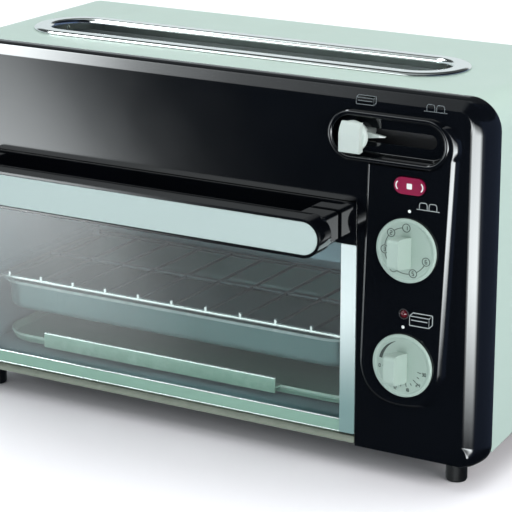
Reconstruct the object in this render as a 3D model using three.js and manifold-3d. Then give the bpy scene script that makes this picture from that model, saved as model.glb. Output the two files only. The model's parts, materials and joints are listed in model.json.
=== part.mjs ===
// Combined slot toaster and mini oven, in millimetres.
// +X is to the right of a person facing the door, the door faces -Y, +Z is up.
// The origin is on the table, in the middle of the object's footprint.

import * as THREE from 'three';
import { mergeVertices } from 'three/addons/utils/BufferGeometryUtils.js';
import Module from 'manifold-3d';

const wasm = await Module();
wasm.setup();

// ---------------------------------------------------------------- driving dimensions

const GAP = 0.3;                 // air left between neighbouring pieces
const SHEET = 1.2;               // folded sheet inside the body

// casing: one painted sheet bent over the top and down both sides
const HALF_WIDTH = 200;
const CASE_TOP = 243;
const CASE_FRONT = -53;
const CASE_REAR = 97.5;
const CASE_SHEET = 1.5;
const CASE_FILLET = 20;
const SIDE_EDGE_FRONT = 24;      // height of a side's lower edge at its front corner
const SIDE_EDGE_REAR = 28.5;     // and from SIDE_EDGE_LEVEL back
const SIDE_EDGE_LEVEL = -5;
const PAN_HALF = 188;            // the base plate's tub; its flange reaches the casing
const PAN_RIM = 34;

// front bezel
const BEZEL_FRONT = -68;
const BEZEL_WALL = 3;
const BEZEL_BOTTOM = 14.5;
const BEZEL_BOTTOM_FILLET = 15;
const BEZEL_ROUND = 14.5;        // how far the face is set back at the left and right edges
const BEZEL_FACET = 6.7;         // height of the bevel above the face
const BEZEL_HEAD_HOLLOW = 233;   // top of the hollow behind the face
const SILL_TOP = 17.2;           // the thin bar below the door
const SILL_FRONT = -57;

// door
const DOOR_LEFT = -184;
const DOOR_RIGHT = 113.5;
const DOOR_TOP = 172.6;
const DOOR_BOTTOM = 17.8;
const DOOR_REAR = -60;
const HINGE_Y = -62.8;
const HINGE_Z = 23.5;
const PIN_RADIUS = 1.8;
const TOP_FRAME_BOTTOM = 146;
const STRIP_WIDTH = 10.4;
const STRIP_BOTTOM = DOOR_BOTTOM + 6.2;
const GLASS_FRONT = -65;
const GLASS_REAR = -61;
const HANDLE_FRONT = -98.5;
const HANDLE_BACK = -84;
const HANDLE_MID_Z = 155;
const HANDLE_HEIGHT = 24.4;
const HANDLE_LEFT = -181;
const HANDLE_RIGHT = 105;
const HANDLE_ARM = 22;
const INLAY_HEIGHT = 21;
const HANDLE_SCREW_X = [HANDLE_LEFT + 13, HANDLE_RIGHT - 13];
const HANDLE_SCREW_Z = 162;

// oven cavity, inner faces
const CAVITY_MID = -36;
const CAVITY_HALF = 146;
const CAVITY_FRONT = -54.6;
const CAVITY_REAR = 82;
const CAVITY_FLOOR = 28.2;
const CAVITY_CEILING = 130;
const CAVITY_LEFT = CAVITY_MID - CAVITY_HALF;
const CAVITY_RIGHT = CAVITY_MID + CAVITY_HALF;
const GRILL_Z = 119;
const BASE_ELEMENT_Z = 46;
const ELEMENT_Y = [0, 40];

// baking tray, its runners, the rack that stands in it, and the crumb tray
const TRAY_HALF = 135;
const TRAY_FRONT = -46;
const TRAY_BACK = 76;
const TRAY_FLOOR = 56;
const TRAY_RIM = 75;
const TRAY_SHEET = 1.2;
const RUNNER_DEPTH = 7;
const TRAY_CORNER = 24;
const RACK_MID = -32.5;
const RACK_PITCH = 26;
const RACK_WIRES = 11;
const CRUMB_FLOOR = 30;
const CRUMB_RIM = CRUMB_FLOOR + 6;
const CRUMB_HALF = 142;
const CRUMB_FRONT = -40;
const CRUMB_BACK = 78;
const CRUMB_TAB = [-134, 46];
const CRUMB_TAB_HEIGHT = [32.2, 43];

// toast slot and chamber
const SLOT_X = -9.5;
const SLOT_Y = 7;
const SLOT_HALF_LENGTH = 146.6;
const SLOT_HALF_WIDTH = 19;
const RING_BAND = 12;
const RING_TOP = 245;
const CHAMBER_HALF_LENGTH = 152;
const CHAMBER_HALF_WIDTH = 33;
const CHAMBER_FLOOR = 134;
const CHAMBER_TOP = 238;
const CHUTE_BOTTOM = 212;
const CARRIAGE_REST_Z = 199;     // raised; the selector lowers it by CARRIAGE_TRAVEL
const CARRIAGE_TRAVEL = 55;
const GUIDE_Y = 13.5;            // from the middle of the slot
const GUIDE_HALF = 136;
const GUIDE_LOW = 140;
const GUIDE_HIGH = 208;
const GUIDE_WIRE = 1;            // half a wire's thickness
const TOAST_ELEMENT_Y = 25;

// controls
const OPEN = 0.6;                // running clearance round a control
const BROWNING = { x: 149.1, z: 149 };
const TIMER = { x: 147.9, z: 76.5 };
const KNOB_RADIUS = 19.9;
const KNOB_FACE = -73;
const KNOB_THICK = 1.7;
const GRIP_FRONT = -90.5;
const GRIP_HALF = 3.6;
const SHAFT_RADIUS = 3;
const SHAFT_END = -44;
const TONGUE_FRONT = -71;
const TONGUE_BACK = BEZEL_FRONT - GAP;
const TONGUE_LOW = 50;
const STOP = { x: 150.2, z: 188.7, halfLength: 10.2, halfHeight: 5.15 };
const STOP_FRONT = -72;
const PILOT = { x: 147.7, z: 109 };
const PILOT_FRONT = -71.8;
const SELECTOR_X = 111.7;        // at the oven mark
const SELECTOR_Z = 214.3;
const SELECTOR_TRAVEL = 39.5;    // the pointer's tip then stands just inside the recess's end
const SELECTOR_CAP = { radius: 9.6, front: -72.2, rear: -69.2 };
const SELECTOR_NECK = 5.5;
const SELECTOR_FRONT = -76.5;
const STEM_HALF = [5, 4];
const TRACK_RIGHT = 162.9;
const RECESS_LEFT = 94;
const RECESS_RIGHT = 174.8;
const RECESS_HALF_HEIGHT = 15.5;
const RECESS_FRONT = -70.5;
const RECESS_FLOOR = -62;
const RECESS_MID = (RECESS_LEFT + RECESS_RIGHT) / 2;
const RECESS_HALF = (RECESS_RIGHT - RECESS_LEFT) / 2;

// control compartment, behind the panel
const BRACKET_FRONT = -57;
const UNIT_FRONT = -55.5;
const BROWNING_UNIT = { half: 14, depth: 16 };
const TIMER_UNIT = { half: 24, depth: 33 };
const BOARD_X = 184;
const SELECTOR_RAIL = { left: 100, right: 184, front: -48, half: 9 };

// feet
const FOOT_RADIUS = 6.8;
const FOOT_HEIGHT = 14;
const FOOT_X = 175;
const FOOT_Y = [-48.5, 82];

// back of the body
const CORD_X = 168;
const CORD_Z = 44;
const PANEL_FRONT = CASE_REAR - 3;
const PANEL_REAR = PANEL_FRONT + CASE_SHEET;
const PANEL_BOTTOM = 16;
const SPACER_REAR = 98.5;
const TAB_FRONT = 88;
const BACK_SCREWS = [[-188, 50], [188, 70], [-176, 226], [176, 226]];

// ---------------------------------------------------------------- solids

function toSolid(geometry) {
  const bare = geometry.clone();
  bare.deleteAttribute('normal');
  bare.deleteAttribute('uv');
  const merged = mergeVertices(bare, 1e-4);
  const vertProperties = new Float32Array(merged.attributes.position.array);
  const triVerts = new Uint32Array(merged.index.array);
  const solid = new wasm.Manifold(new wasm.Mesh({ numProp: 3, vertProperties, triVerts }));
  if (solid.volume() > 0) return solid;
  const flipped = triVerts.map((_, i) => triVerts[i - (i % 3) + (2 - (i % 3))]);
  return new wasm.Manifold(new wasm.Mesh({ numProp: 3, vertProperties, triVerts: flipped }));
}

function toGeometry(solid) {
  const mesh = solid.getMesh();
  const geometry = new THREE.BufferGeometry();
  geometry.setAttribute('position', new THREE.BufferAttribute(mesh.vertProperties, 3));
  geometry.setIndex(new THREE.BufferAttribute(mesh.triVerts, 1));
  geometry.computeVertexNormals();
  return geometry;
}

function union(solids) {
  return solids.reduce((all, one) => all.add(one));
}

function box(x0, x1, y0, y1, z0, z1) {
  const geometry = new THREE.BoxGeometry(x1 - x0, y1 - y0, z1 - z0);
  geometry.translate((x0 + x1) / 2, (y0 + y1) / 2, (z0 + z1) / 2);
  return toSolid(geometry);
}

// A shape drawn in the XZ plane, extruded from yFront to yBack.
function prismY(shape, yFront, yBack, curveSegments = 6) {
  const depth = yBack - yFront;
  const geometry = new THREE.ExtrudeGeometry(shape, { depth, bevelEnabled: false, curveSegments });
  geometry.rotateX(Math.PI / 2);
  geometry.translate(0, yBack, 0);
  return toSolid(geometry);
}

// A shape drawn in the XY plane, extruded from z0 to z1.
function prismZ(shape, z0, z1, curveSegments = 10) {
  const options = { depth: z1 - z0, bevelEnabled: false, curveSegments };
  const geometry = new THREE.ExtrudeGeometry(shape, options);
  geometry.translate(0, 0, z0);
  return toSolid(geometry);
}

// A shape drawn in the YZ plane, extruded from x0 to x1.
function prismX(shape, x0, x1, curveSegments = 10) {
  const options = { depth: x1 - x0, bevelEnabled: false, curveSegments };
  const geometry = new THREE.ExtrudeGeometry(shape, options);
  geometry.applyMatrix4(new THREE.Matrix4().set(0, 0, 1, x0, 1, 0, 0, 0, 0, 1, 0, 0, 0, 0, 0, 1));
  return toSolid(geometry);
}

function rodX(x0, x1, y, z, radius, sides = 16) {
  const geometry = new THREE.CylinderGeometry(radius, radius, x1 - x0, sides);
  geometry.rotateZ(-Math.PI / 2);
  geometry.translate((x0 + x1) / 2, y, z);
  return toSolid(geometry);
}

function rodY(y0, y1, x, z, radius, sides = 16) {
  const geometry = new THREE.CylinderGeometry(radius, radius, y1 - y0, sides);
  geometry.translate(0, (y0 + y1) / 2, 0);
  geometry.translate(x, 0, z);
  return toSolid(geometry);
}

function rodZ(z0, z1, x, y, radius, sides = 16) {
  const geometry = new THREE.CylinderGeometry(radius, radius, z1 - z0, sides);
  geometry.rotateX(Math.PI / 2);
  geometry.translate(x, y, (z0 + z1) / 2);
  return toSolid(geometry);
}

// Rounded rectangle; radii in the order lower left, lower right, upper right, upper left.
function roundedRect(x0, x1, y0, y1, radii) {
  const [a, b, c, d] = Array.isArray(radii) ? radii : [radii, radii, radii, radii];
  const shape = new THREE.Shape();
  shape.moveTo(x0 + a, y0);
  shape.lineTo(x1 - b, y0);
  shape.absarc(x1 - b, y0 + b, b, -Math.PI / 2, 0, false);
  shape.lineTo(x1, y1 - c);
  shape.absarc(x1 - c, y1 - c, c, 0, Math.PI / 2, false);
  shape.lineTo(x0 + d, y1);
  shape.absarc(x0 + d, y1 - d, d, Math.PI / 2, Math.PI, false);
  shape.lineTo(x0, y0 + a);
  shape.absarc(x0 + a, y0 + a, a, Math.PI, Math.PI * 1.5, false);
  return shape;
}

function obround(x, y, halfLength, halfWidth) {
  const radius = halfWidth - 0.001;
  return roundedRect(x - halfLength, x + halfLength, y - halfWidth, y + halfWidth, radius);
}

function polygon(points) {
  const shape = new THREE.Shape();
  points.forEach(([x, y], i) => (i ? shape.lineTo(x, y) : shape.moveTo(x, y)));
  return shape;
}

// A closed skin through rings that all have the same number of points.
// With capped ends the first and last ring, which lie in XZ planes, are filled;
// otherwise the last ring joins the first.
function skin(rings, capped) {
  const count = rings[0].length;
  const positions = rings.flat(2);
  const index = [];
  const last = capped ? rings.length - 1 : rings.length;
  for (let r = 0; r < last; r++) {
    const near = r * count;
    const far = ((r + 1) % rings.length) * count;
    for (let i = 0; i < count; i++) {
      const j = (i + 1) % count;
      index.push(near + i, near + j, far + j, near + i, far + j, far + i);
    }
  }
  if (capped) {
    const flat = (ring) => ring.map(([x, , z]) => new THREE.Vector2(x, z));
    const end = (rings.length - 1) * count;
    for (const [a, b, c] of THREE.ShapeUtils.triangulateShape(flat(rings[0]), [])) {
      index.push(c, b, a);
    }
    for (const [a, b, c] of THREE.ShapeUtils.triangulateShape(flat(rings[rings.length - 1]), [])) {
      index.push(end + a, end + b, end + c);
    }
  }
  const geometry = new THREE.BufferGeometry();
  geometry.setAttribute('position', new THREE.Float32BufferAttribute(positions, 3));
  geometry.setIndex(index);
  return toSolid(geometry);
}

// ---------------------------------------------------------------- assembly

const toaster = new THREE.Group();

function addPiece(name, solid, colour, roughness, metalness) {
  const material = new THREE.MeshStandardMaterial({ color: colour, roughness, metalness });
  const mesh = new THREE.Mesh(toGeometry(solid), material);
  mesh.name = name;
  toaster.add(mesh);
}

const PAINT = [0xc9dacf, 0.42, 0.25];
const BLACK_GLOSS = [0x07090c, 0.18, 0];
const BLACK_MATT = [0x141618, 0.6, 0];
const STEEL = [0xb4bbb9, 0.35, 0.9];
const DARK_STEEL = [0x4d5655, 0.5, 0.8];
const CHROME = [0xdfe7e4, 0.12, 1];
const SAGE = [0xa9c2b3, 0.45, 0];
const SILVER_TRIM = [0xcfdcd8, 0.3, 0.7];
const GLASS = [0xcfe0dd, 0.05, 0];
const MICA = [0x8d8671, 0.7, 0];
const RED = [0x8e0f38, 0.3, 0];
const BOARD_GREEN = [0x2f5a3c, 0.6, 0];

// ---------------------------------------------------------------- body shells

function makeCasing() {
  const low = SIDE_EDGE_FRONT;
  const fillets = [0.01, 0.01, CASE_FILLET, CASE_FILLET];
  const inside = HALF_WIDTH - CASE_SHEET;
  const inner = CASE_FILLET - CASE_SHEET;
  const outline = roundedRect(-HALF_WIDTH, HALF_WIDTH, low, CASE_TOP, fillets);
  const innerFillets = [0.01, 0.01, inner, inner];
  const hollow = roundedRect(-inside, inside, low - 10, CASE_TOP - CASE_SHEET, innerFillets);
  const shell = prismY(outline, CASE_FRONT + GAP, CASE_REAR, 10).subtract(
    prismY(hollow, CASE_FRONT - 5, CASE_REAR + 5, 10));
  const sweep = polygon([[CASE_FRONT - 5, low - 5], [CASE_REAR + 5, low - 5],
    [CASE_REAR + 5, SIDE_EDGE_REAR], [SIDE_EDGE_LEVEL, SIDE_EDGE_REAR], [CASE_FRONT, low]]);
  const slotHole = obround(SLOT_X, SLOT_Y, SLOT_HALF_LENGTH + 3, SLOT_HALF_WIDTH + 3);
  let casing = shell
    .subtract(prismX(sweep, -HALF_WIDTH - 5, HALF_WIDTH + 5))
    .subtract(prismZ(slotHole, CASE_TOP - 5, CASE_TOP + 5));
  // folded tabs that take the back panel's screws
  for (const [x, z] of BACK_SCREWS) {
    const ends = [x - 7, x + 7];
    const onSide = Math.abs(x) > 180;
    if (onSide) ends.push(Math.sign(x) * (inside + 0.5));
    const tabTop = onSide ? z + 7 : CASE_TOP - 1;
    const tab = box(Math.min(...ends), Math.max(...ends), TAB_FRONT, TAB_FRONT + SHEET, z - 7, tabTop);
    casing = casing.add(tab).subtract(rodY(TAB_FRONT - 2, TAB_FRONT + 3, x, z, 2.1, 12));
  }
  return casing;
}

function makeBasePlate() {
  const floor = BEZEL_BOTTOM + 0.5;
  const front = CASE_FRONT + 2;
  const rear = PANEL_FRONT - 1;
  const reach = HALF_WIDTH - CASE_SHEET - GAP;
  const outer = roundedRect(-PAN_HALF, PAN_HALF, front, rear, 4);
  const inner = roundedRect(-PAN_HALF + SHEET, PAN_HALF - SHEET, front + SHEET, rear - SHEET, 3);
  const flange = box(-reach, reach, front, rear, PAN_RIM - SHEET, PAN_RIM);
  let pan = prismZ(outer, floor, PAN_RIM, 3)
    .add(flange)
    .subtract(prismZ(inner, floor + SHEET, PAN_RIM + 5, 3));
  // the front wall is low, so that the oven liner can pass over it
  const frontGap = PAN_HALF - 4;
  pan = pan.subtract(box(-frontGap, frontGap, CASE_FRONT, CASE_FRONT + 6, floor + SHEET, PAN_RIM + 5));
  for (let column = 0; column < 7; column++) {
    const x = -141 + column * 47;
    for (const y of [5, 30, 55]) {
      pan = pan.subtract(box(x - 18, x + 18, y - 2.5, y + 2.5, floor - 1, floor + 3));
    }
  }
  return pan;
}

function makeBackPanel() {
  const inside = HALF_WIDTH - CASE_SHEET - GAP;
  const inner = CASE_FILLET - CASE_SHEET - GAP;
  const top = CASE_TOP - CASE_SHEET - GAP;
  const face = roundedRect(-inside, inside, PANEL_BOTTOM, top, [3, 3, inner, inner]);
  const before = PANEL_FRONT - 2;
  const behind = PANEL_REAR + 2;
  let panel = prismY(face, PANEL_FRONT, PANEL_REAR);
  for (const z of [72, 88, 104, 120, 198, 214]) {
    for (const x of [-123, -65, -7, 51]) {
      panel = panel.subtract(box(x - 24, x + 24, before, behind, z - 2.5, z + 2.5));
    }
  }
  panel = panel.subtract(rodY(before, behind, CORD_X, CORD_Z, 8.3, 24));
  // two pressed spacers keep the hot back off a wall
  for (const x of [-150, 150]) {
    panel = panel.add(rodY(PANEL_FRONT + 1, SPACER_REAR, x, 178, 7, 16));
  }
  for (const [x, z] of BACK_SCREWS) {
    panel = panel.subtract(rodY(before, behind, x, z, 2.2, 12));
  }
  return panel;
}

// ---------------------------------------------------------------- front bezel

// One ring of the bezel's outline. The face is set back from the outer edge by
// sideInset at the corners that face left and right and by edgeInset above and below.
function bezelRing(y, sideInset, topInset, bottomInset) {
  const ring = [];
  const corners = [
    [HALF_WIDTH, CASE_TOP, CASE_FILLET, 0, topInset],
    [-HALF_WIDTH, CASE_TOP, CASE_FILLET, 1, topInset],
    [-HALF_WIDTH, BEZEL_BOTTOM, BEZEL_BOTTOM_FILLET, 2, bottomInset],
    [HALF_WIDTH, BEZEL_BOTTOM, BEZEL_BOTTOM_FILLET, 3, bottomInset],
  ];
  const steps = 8;
  for (const [x, z, radius, quarter, edgeInset] of corners) {
    const centreX = x - Math.sign(x) * radius;
    const centreZ = z > 100 ? z - radius : z + radius;
    for (let k = 0; k <= steps; k++) {
      const angle = (quarter + k / steps) * Math.PI / 2;
      const c = Math.cos(angle);
      const s = Math.sin(angle);
      const inset = sideInset * c * c + edgeInset * s * s;
      ring.push([centreX + (radius - inset) * c, y, centreZ + (radius - inset) * s]);
    }
  }
  return ring;
}

function makeBezel() {
  const depth = CASE_FRONT - BEZEL_FRONT;
  const rings = [];
  // how far forward, and how far below the top: a bevel above the face, then a nearly flat roll
  const topProfile = [[1, BEZEL_FACET], [0.97, 6.2], [0.6, 1.3], [0.45, 0.75], [0.25, 0.3], [0, 0]];
  for (const [forward, topInset] of topProfile) {
    const round = 1 - Math.sqrt(Math.max(0, 1 - forward * forward));
    rings.push(bezelRing(CASE_FRONT - depth * forward, BEZEL_ROUND * round, topInset, topInset * 0.335));
  }
  let bezel = skin(rings, true);
  const back = CASE_FRONT + 1;
  const ahead = BEZEL_FRONT - 5;
  const wall = BEZEL_FRONT + BEZEL_WALL;
  const hollow = HALF_WIDTH - 10;
  const doorLeft = DOOR_LEFT - OPEN;
  const doorRight = DOOR_RIGHT + OPEN;
  bezel = bezel
    .subtract(box(-hollow, hollow, wall, back, DOOR_TOP + 6, BEZEL_HEAD_HOLLOW))
    .subtract(box(DOOR_RIGHT + 5, hollow, wall, back, HINGE_Z + 0.5, DOOR_TOP + 10))
    .subtract(box(doorLeft, doorRight, ahead, back, SILL_TOP, DOOR_TOP + OPEN))
    .subtract(box(doorLeft, doorRight, ahead, SILL_FRONT, BEZEL_BOTTOM - 1, SILL_TOP + 1))
    .subtract(box(DOOR_LEFT - 8, DOOR_RIGHT + 6, CASE_FRONT - 4, back, SILL_TOP, DOOR_TOP + 7));
  for (const side of [-1, 1]) {
    bezel = bezel.subtract(hingeRod(side, 0, 5, PIN_RADIUS + GAP));
  }
  const recessHole = obround(RECESS_MID, SELECTOR_Z, RECESS_HALF - 1.5, RECESS_HALF_HEIGHT - 1.5);
  const shaftHole = box(BROWNING.x - 15, BROWNING.x + 15, ahead, back, TIMER.z - 15, STOP.z + 7);
  return bezel.subtract(prismY(recessHole, ahead, back)).subtract(shaftHole);
}

// The raised panel that carries the controls: it narrows a little and leans
// towards the door as it goes down, and its lower end is round.
function tonguePlate(inset) {
  const shape = new THREE.Shape();
  const leftTop = 122.5 + inset;
  const leftLow = 118.5 + inset;
  const rightTop = 177.5 - inset;
  const rightLow = 172 - inset;
  const end = TONGUE_LOW + inset;
  shape.moveTo(leftTop, 206);
  shape.lineTo(leftLow, 76);
  shape.bezierCurveTo(leftLow, 60, leftLow + 10, end, leftLow + 24, end);
  shape.lineTo(rightLow - 22, end);
  shape.bezierCurveTo(rightLow - 8, end, rightLow - 0.5, 60, rightLow, 74);
  shape.lineTo(rightTop, 206);
  shape.bezierCurveTo(rightTop + 1, 214, rightTop + 1, 218, rightTop - 3, 222);
  shape.lineTo(150, 222);
  return shape;
}

function makeTongue() {
  const clear = obround(RECESS_MID, SELECTOR_Z, RECESS_HALF + GAP, RECESS_HALF_HEIGHT + GAP);
  const ahead = TONGUE_FRONT - 2;
  const behind = TONGUE_BACK + 2;
  const stopHole = obround(STOP.x, STOP.z, STOP.halfLength + OPEN, STOP.halfHeight + OPEN);
  const plate = prismY(tonguePlate(1.2), TONGUE_FRONT, TONGUE_BACK, 8)
    .add(prismY(tonguePlate(0), TONGUE_FRONT + 1, TONGUE_BACK, 8));
  return plate
    .subtract(prismY(clear, ahead, behind))
    .subtract(box(RECESS_LEFT, HALF_WIDTH, ahead, behind, SELECTOR_Z + 2, CASE_TOP))
    .subtract(prismY(stopHole, ahead, behind))
    .subtract(rodY(ahead, behind, BROWNING.x, BROWNING.z, SHAFT_RADIUS + 2, 24))
    .subtract(rodY(ahead, behind, TIMER.x, TIMER.z, SHAFT_RADIUS + 2, 24))
    .subtract(rodY(ahead, behind, PILOT.x, PILOT.z, 3.1, 16));
}

function makeRecess() {
  const shrunk = (by) => obround(RECESS_MID, SELECTOR_Z, RECESS_HALF - by, RECESS_HALF_HEIGHT - by);
  const rim = prismY(shrunk(0), RECESS_FRONT, TONGUE_BACK);
  const cup = prismY(shrunk(2), RECESS_FRONT + 1, RECESS_FLOOR + 2);
  const bowl = prismY(shrunk(3.5), RECESS_FRONT - 1, RECESS_FLOOR);
  const trackLeft = SELECTOR_X - STEM_HALF[0] - 0.4;
  const trackHalf = (TRACK_RIGHT - trackLeft) / 2;
  const track = obround(trackLeft + trackHalf, SELECTOR_Z, trackHalf, STEM_HALF[1] + 0.4);
  return rim.add(cup).subtract(bowl).subtract(prismY(track, RECESS_FLOOR - 8, RECESS_FLOOR + 8));
}

// ---------------------------------------------------------------- toast slot

// Points round an obround in plan, grown by offset, at height z.
function slotRing(offset, z) {
  const radius = SLOT_HALF_WIDTH + offset;
  const reach = SLOT_HALF_LENGTH - SLOT_HALF_WIDTH;
  const steps = 10;
  const ring = [];
  for (const side of [1, -1]) {
    for (let k = 0; k <= steps; k++) {
      const angle = (side > 0 ? -0.5 : 0.5) * Math.PI + (k / steps) * Math.PI;
      ring.push([SLOT_X + side * reach + radius * Math.cos(angle), SLOT_Y + radius * Math.sin(angle), z]);
    }
  }
  return ring;
}

function makeSlotTrim() {
  const base = CASE_TOP + GAP;
  const skirt = CHAMBER_TOP + GAP;
  const profile = [[RING_BAND, base], [RING_BAND, base + 0.5], [RING_BAND - 3, RING_TOP],
    [2.5, RING_TOP], [0.6, RING_TOP - 0.7], [0, RING_TOP - 2.2], [0, skirt], [1.5, skirt], [1.5, base]];
  return skin(profile.map(([offset, z]) => slotRing(offset, z)), false);
}

function makeChamber() {
  const x0 = SLOT_X - CHAMBER_HALF_LENGTH;
  const x1 = SLOT_X + CHAMBER_HALF_LENGTH;
  const y0 = SLOT_Y - CHAMBER_HALF_WIDTH;
  const y1 = SLOT_Y + CHAMBER_HALF_WIDTH;
  const slotX0 = SLOT_X - SLOT_HALF_LENGTH;
  const slotX1 = SLOT_X + SLOT_HALF_LENGTH;
  const slotY0 = SLOT_Y - SLOT_HALF_WIDTH;
  const slotY1 = SLOT_Y + SLOT_HALF_WIDTH;
  const hollow = box(x0 + SHEET, x1 - SHEET, y0 + SHEET, y1 - SHEET,
    CHAMBER_FLOOR + SHEET, CHAMBER_TOP - SHEET);
  let chamber = box(x0, x1, y0, y1, CHAMBER_FLOOR, CHAMBER_TOP).subtract(hollow);
  // the chute: walls turned down from the top, all round the opening
  const chute = box(slotX0 - SHEET, slotX1 + SHEET, slotY0 - SHEET, slotY1 + SHEET,
    CHUTE_BOTTOM, CHAMBER_TOP);
  chamber = chamber.add(chute)
    .subtract(box(slotX0, slotX1, slotY0, slotY1, CHUTE_BOTTOM - 1, CHAMBER_TOP + 1));
  // the carriage's arm leaves through a tall slot in the right-hand wall
  chamber = chamber.subtract(box(slotX1 - 1, x1 + 1, SLOT_Y - 6, SLOT_Y + 6,
    CARRIAGE_REST_Z - CARRIAGE_TRAVEL - 5, CARRIAGE_REST_Z + 10));
  for (let k = 0; k < 9; k++) {
    const x = SLOT_X - 128 + k * 32;
    chamber = chamber.subtract(box(x - 11, x + 11, SLOT_Y - 8, SLOT_Y + 8,
      CHAMBER_FLOOR - 1, CHAMBER_FLOOR + 3));
  }
  return chamber;
}

function makeBreadGuide(y) {
  const reach = CHAMBER_HALF_LENGTH - SHEET - GAP;
  const bars = [GUIDE_LOW + 2, GUIDE_HIGH - 2].map((z) =>
    box(SLOT_X - reach, SLOT_X + reach, y - GUIDE_WIRE, y + GUIDE_WIRE,
      z - GUIDE_WIRE, z + GUIDE_WIRE));
  const uprights = [];
  const count = 10;
  const thin = GUIDE_WIRE * 0.7;
  for (let k = 0; k <= count; k++) {
    const x = SLOT_X - GUIDE_HALF + 2 + (k / count) * (2 * GUIDE_HALF - 4);
    uprights.push(box(x - GUIDE_WIRE, x + GUIDE_WIRE, y - thin, y + thin, GUIDE_LOW, GUIDE_HIGH));
  }
  return union([...bars, ...uprights]);
}

function makeToastElement(y) {
  const reach = CHAMBER_HALF_LENGTH - SHEET - GAP;
  let sheet = box(SLOT_X - reach, SLOT_X + reach, y - 0.8, y + 0.8, GUIDE_LOW, GUIDE_HIGH - 2);
  for (let k = 0; k < 5; k++) {
    const x = SLOT_X - 110 + k * 55;
    sheet = sheet.subtract(box(x - 20, x + 20, y - 2, y + 2, 165, 181));
  }
  return sheet;
}

function makeCarriage() {
  const z = CARRIAGE_REST_Z;
  const armEnd = SLOT_X + CHAMBER_HALF_LENGTH + 9;
  const rail = box(SLOT_X - 134, armEnd, SLOT_Y - 3.5, SLOT_Y + 3.5, z, z + 1.8);
  const shoe = box(armEnd - 1.8, armEnd, SLOT_Y - 3.5, SLOT_Y + 3.5, z - 8, z + 8);
  const rests = [];
  for (let k = 0; k < 10; k++) {
    const x = SLOT_X - 120 + k * 26;
    rests.push(box(x - 1, x + 1, SLOT_Y - 11.5, SLOT_Y + 11.5, z - 4, z + 1.8));
  }
  return union([rail, shoe, ...rests]);
}

// ---------------------------------------------------------------- oven

function makeLiner() {
  return box(CAVITY_LEFT - SHEET, CAVITY_RIGHT + SHEET, CAVITY_FRONT, CAVITY_REAR + SHEET,
    CAVITY_FLOOR - SHEET, CAVITY_CEILING + SHEET)
    .subtract(box(CAVITY_LEFT, CAVITY_RIGHT, CAVITY_FRONT - 1, CAVITY_REAR,
      CAVITY_FLOOR, CAVITY_CEILING));
}

function makeOvenFrame() {
  const front = CAVITY_FRONT - GAP - SHEET;
  const back = CAVITY_FRONT - GAP;
  return box(DOOR_LEFT - 6, DOOR_RIGHT + 3.5, front, back, SILL_TOP + 1, DOOR_TOP + 3.4)
    .subtract(box(CAVITY_LEFT, CAVITY_RIGHT, front - 1, CAVITY_FRONT, CAVITY_FLOOR, CAVITY_CEILING));
}

// Channel on a side wall of the cavity: the tray's rim slides in it.
function makeRunner(side) {
  const wall = CAVITY_MID + side * (CAVITY_HALF - GAP);
  const tip = wall - side * RUNNER_DEPTH;
  const [x0, x1] = [Math.min(wall, tip), Math.max(wall, tip)];
  const [g0, g1] = side < 0 ? [x0 + SHEET, x1 + 1] : [x0 - 1, x1 - SHEET];
  return box(x0, x1, -48, 80, TRAY_RIM - 3, TRAY_RIM + 6)
    .subtract(box(g0, g1, -49, 81, TRAY_RIM - 1.5, TRAY_RIM + 4.5));
}

// The tray's outline in plan, grown by sideways and lengthways amounts.
function trayOutline(sideways, lengthways, radius) {
  const half = TRAY_HALF + sideways;
  return roundedRect(CAVITY_MID - half, CAVITY_MID + half, TRAY_FRONT - lengthways,
    TRAY_BACK + lengthways, radius);
}

function makeTray() {
  const hollow = trayOutline(-TRAY_SHEET, -TRAY_SHEET, TRAY_CORNER - TRAY_SHEET);
  return prismZ(trayOutline(0, 0, TRAY_CORNER), TRAY_FLOOR, TRAY_RIM + TRAY_SHEET, 6)
    .add(prismZ(trayOutline(6, 2.5, TRAY_CORNER), TRAY_RIM, TRAY_RIM + TRAY_SHEET, 6))
    .subtract(prismZ(hollow, TRAY_FLOOR + TRAY_SHEET, TRAY_RIM + 10, 6));
}

function makeRack() {
  const wire = 1.2;
  const barRadius = 1.5;
  const z = TRAY_RIM + TRAY_SHEET + GAP + barRadius;
  const reach = (RACK_PITCH * (RACK_WIRES - 1)) / 2;
  const bars = [TRAY_FRONT + 1, (TRAY_FRONT + TRAY_BACK) / 2, TRAY_BACK - 1].map((y) =>
    rodX(CAVITY_MID - TRAY_HALF + 1, CAVITY_MID + TRAY_HALF - 0.2, y, z, barRadius, 8));
  const wires = [];
  for (let k = 0; k < RACK_WIRES; k++) {
    const x = RACK_MID - reach + k * RACK_PITCH;
    wires.push(box(x - wire, x + wire, TRAY_FRONT, TRAY_BACK, z - wire + 0.3, z + wire + 0.3));
    wires.push(box(x - wire, x + wire, TRAY_FRONT, TRAY_FRONT + 2 * wire, z, z + 4));
  }
  return union([...bars, ...wires]);
}

function crumbOutline(shrink) {
  const half = CRUMB_HALF - shrink;
  return roundedRect(CAVITY_MID - half, CAVITY_MID + half, CRUMB_FRONT + shrink, CRUMB_BACK - shrink,
    [25 - shrink, 25 - shrink, 6 - shrink, 6 - shrink]);
}

function makeCrumbTray() {
  const [tabLeft, tabRight] = CRUMB_TAB;
  const tabFront = CRUMB_FRONT - 7;
  return prismZ(crumbOutline(0), CRUMB_FLOOR, CRUMB_RIM, 6)
    .subtract(prismZ(crumbOutline(1), CRUMB_FLOOR + 1, CRUMB_RIM + 5, 6))
    .add(box(tabLeft, tabRight, tabFront, CRUMB_FRONT + 0.5, CRUMB_RIM - 1, CRUMB_RIM))
    .add(box(tabLeft, tabRight, tabFront, tabFront + 1, ...CRUMB_TAB_HEIGHT));
}

function makeElement(y, z) {
  return rodX(CAVITY_LEFT + GAP, CAVITY_RIGHT - GAP, y, z, 3.5, 14);
}

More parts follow.
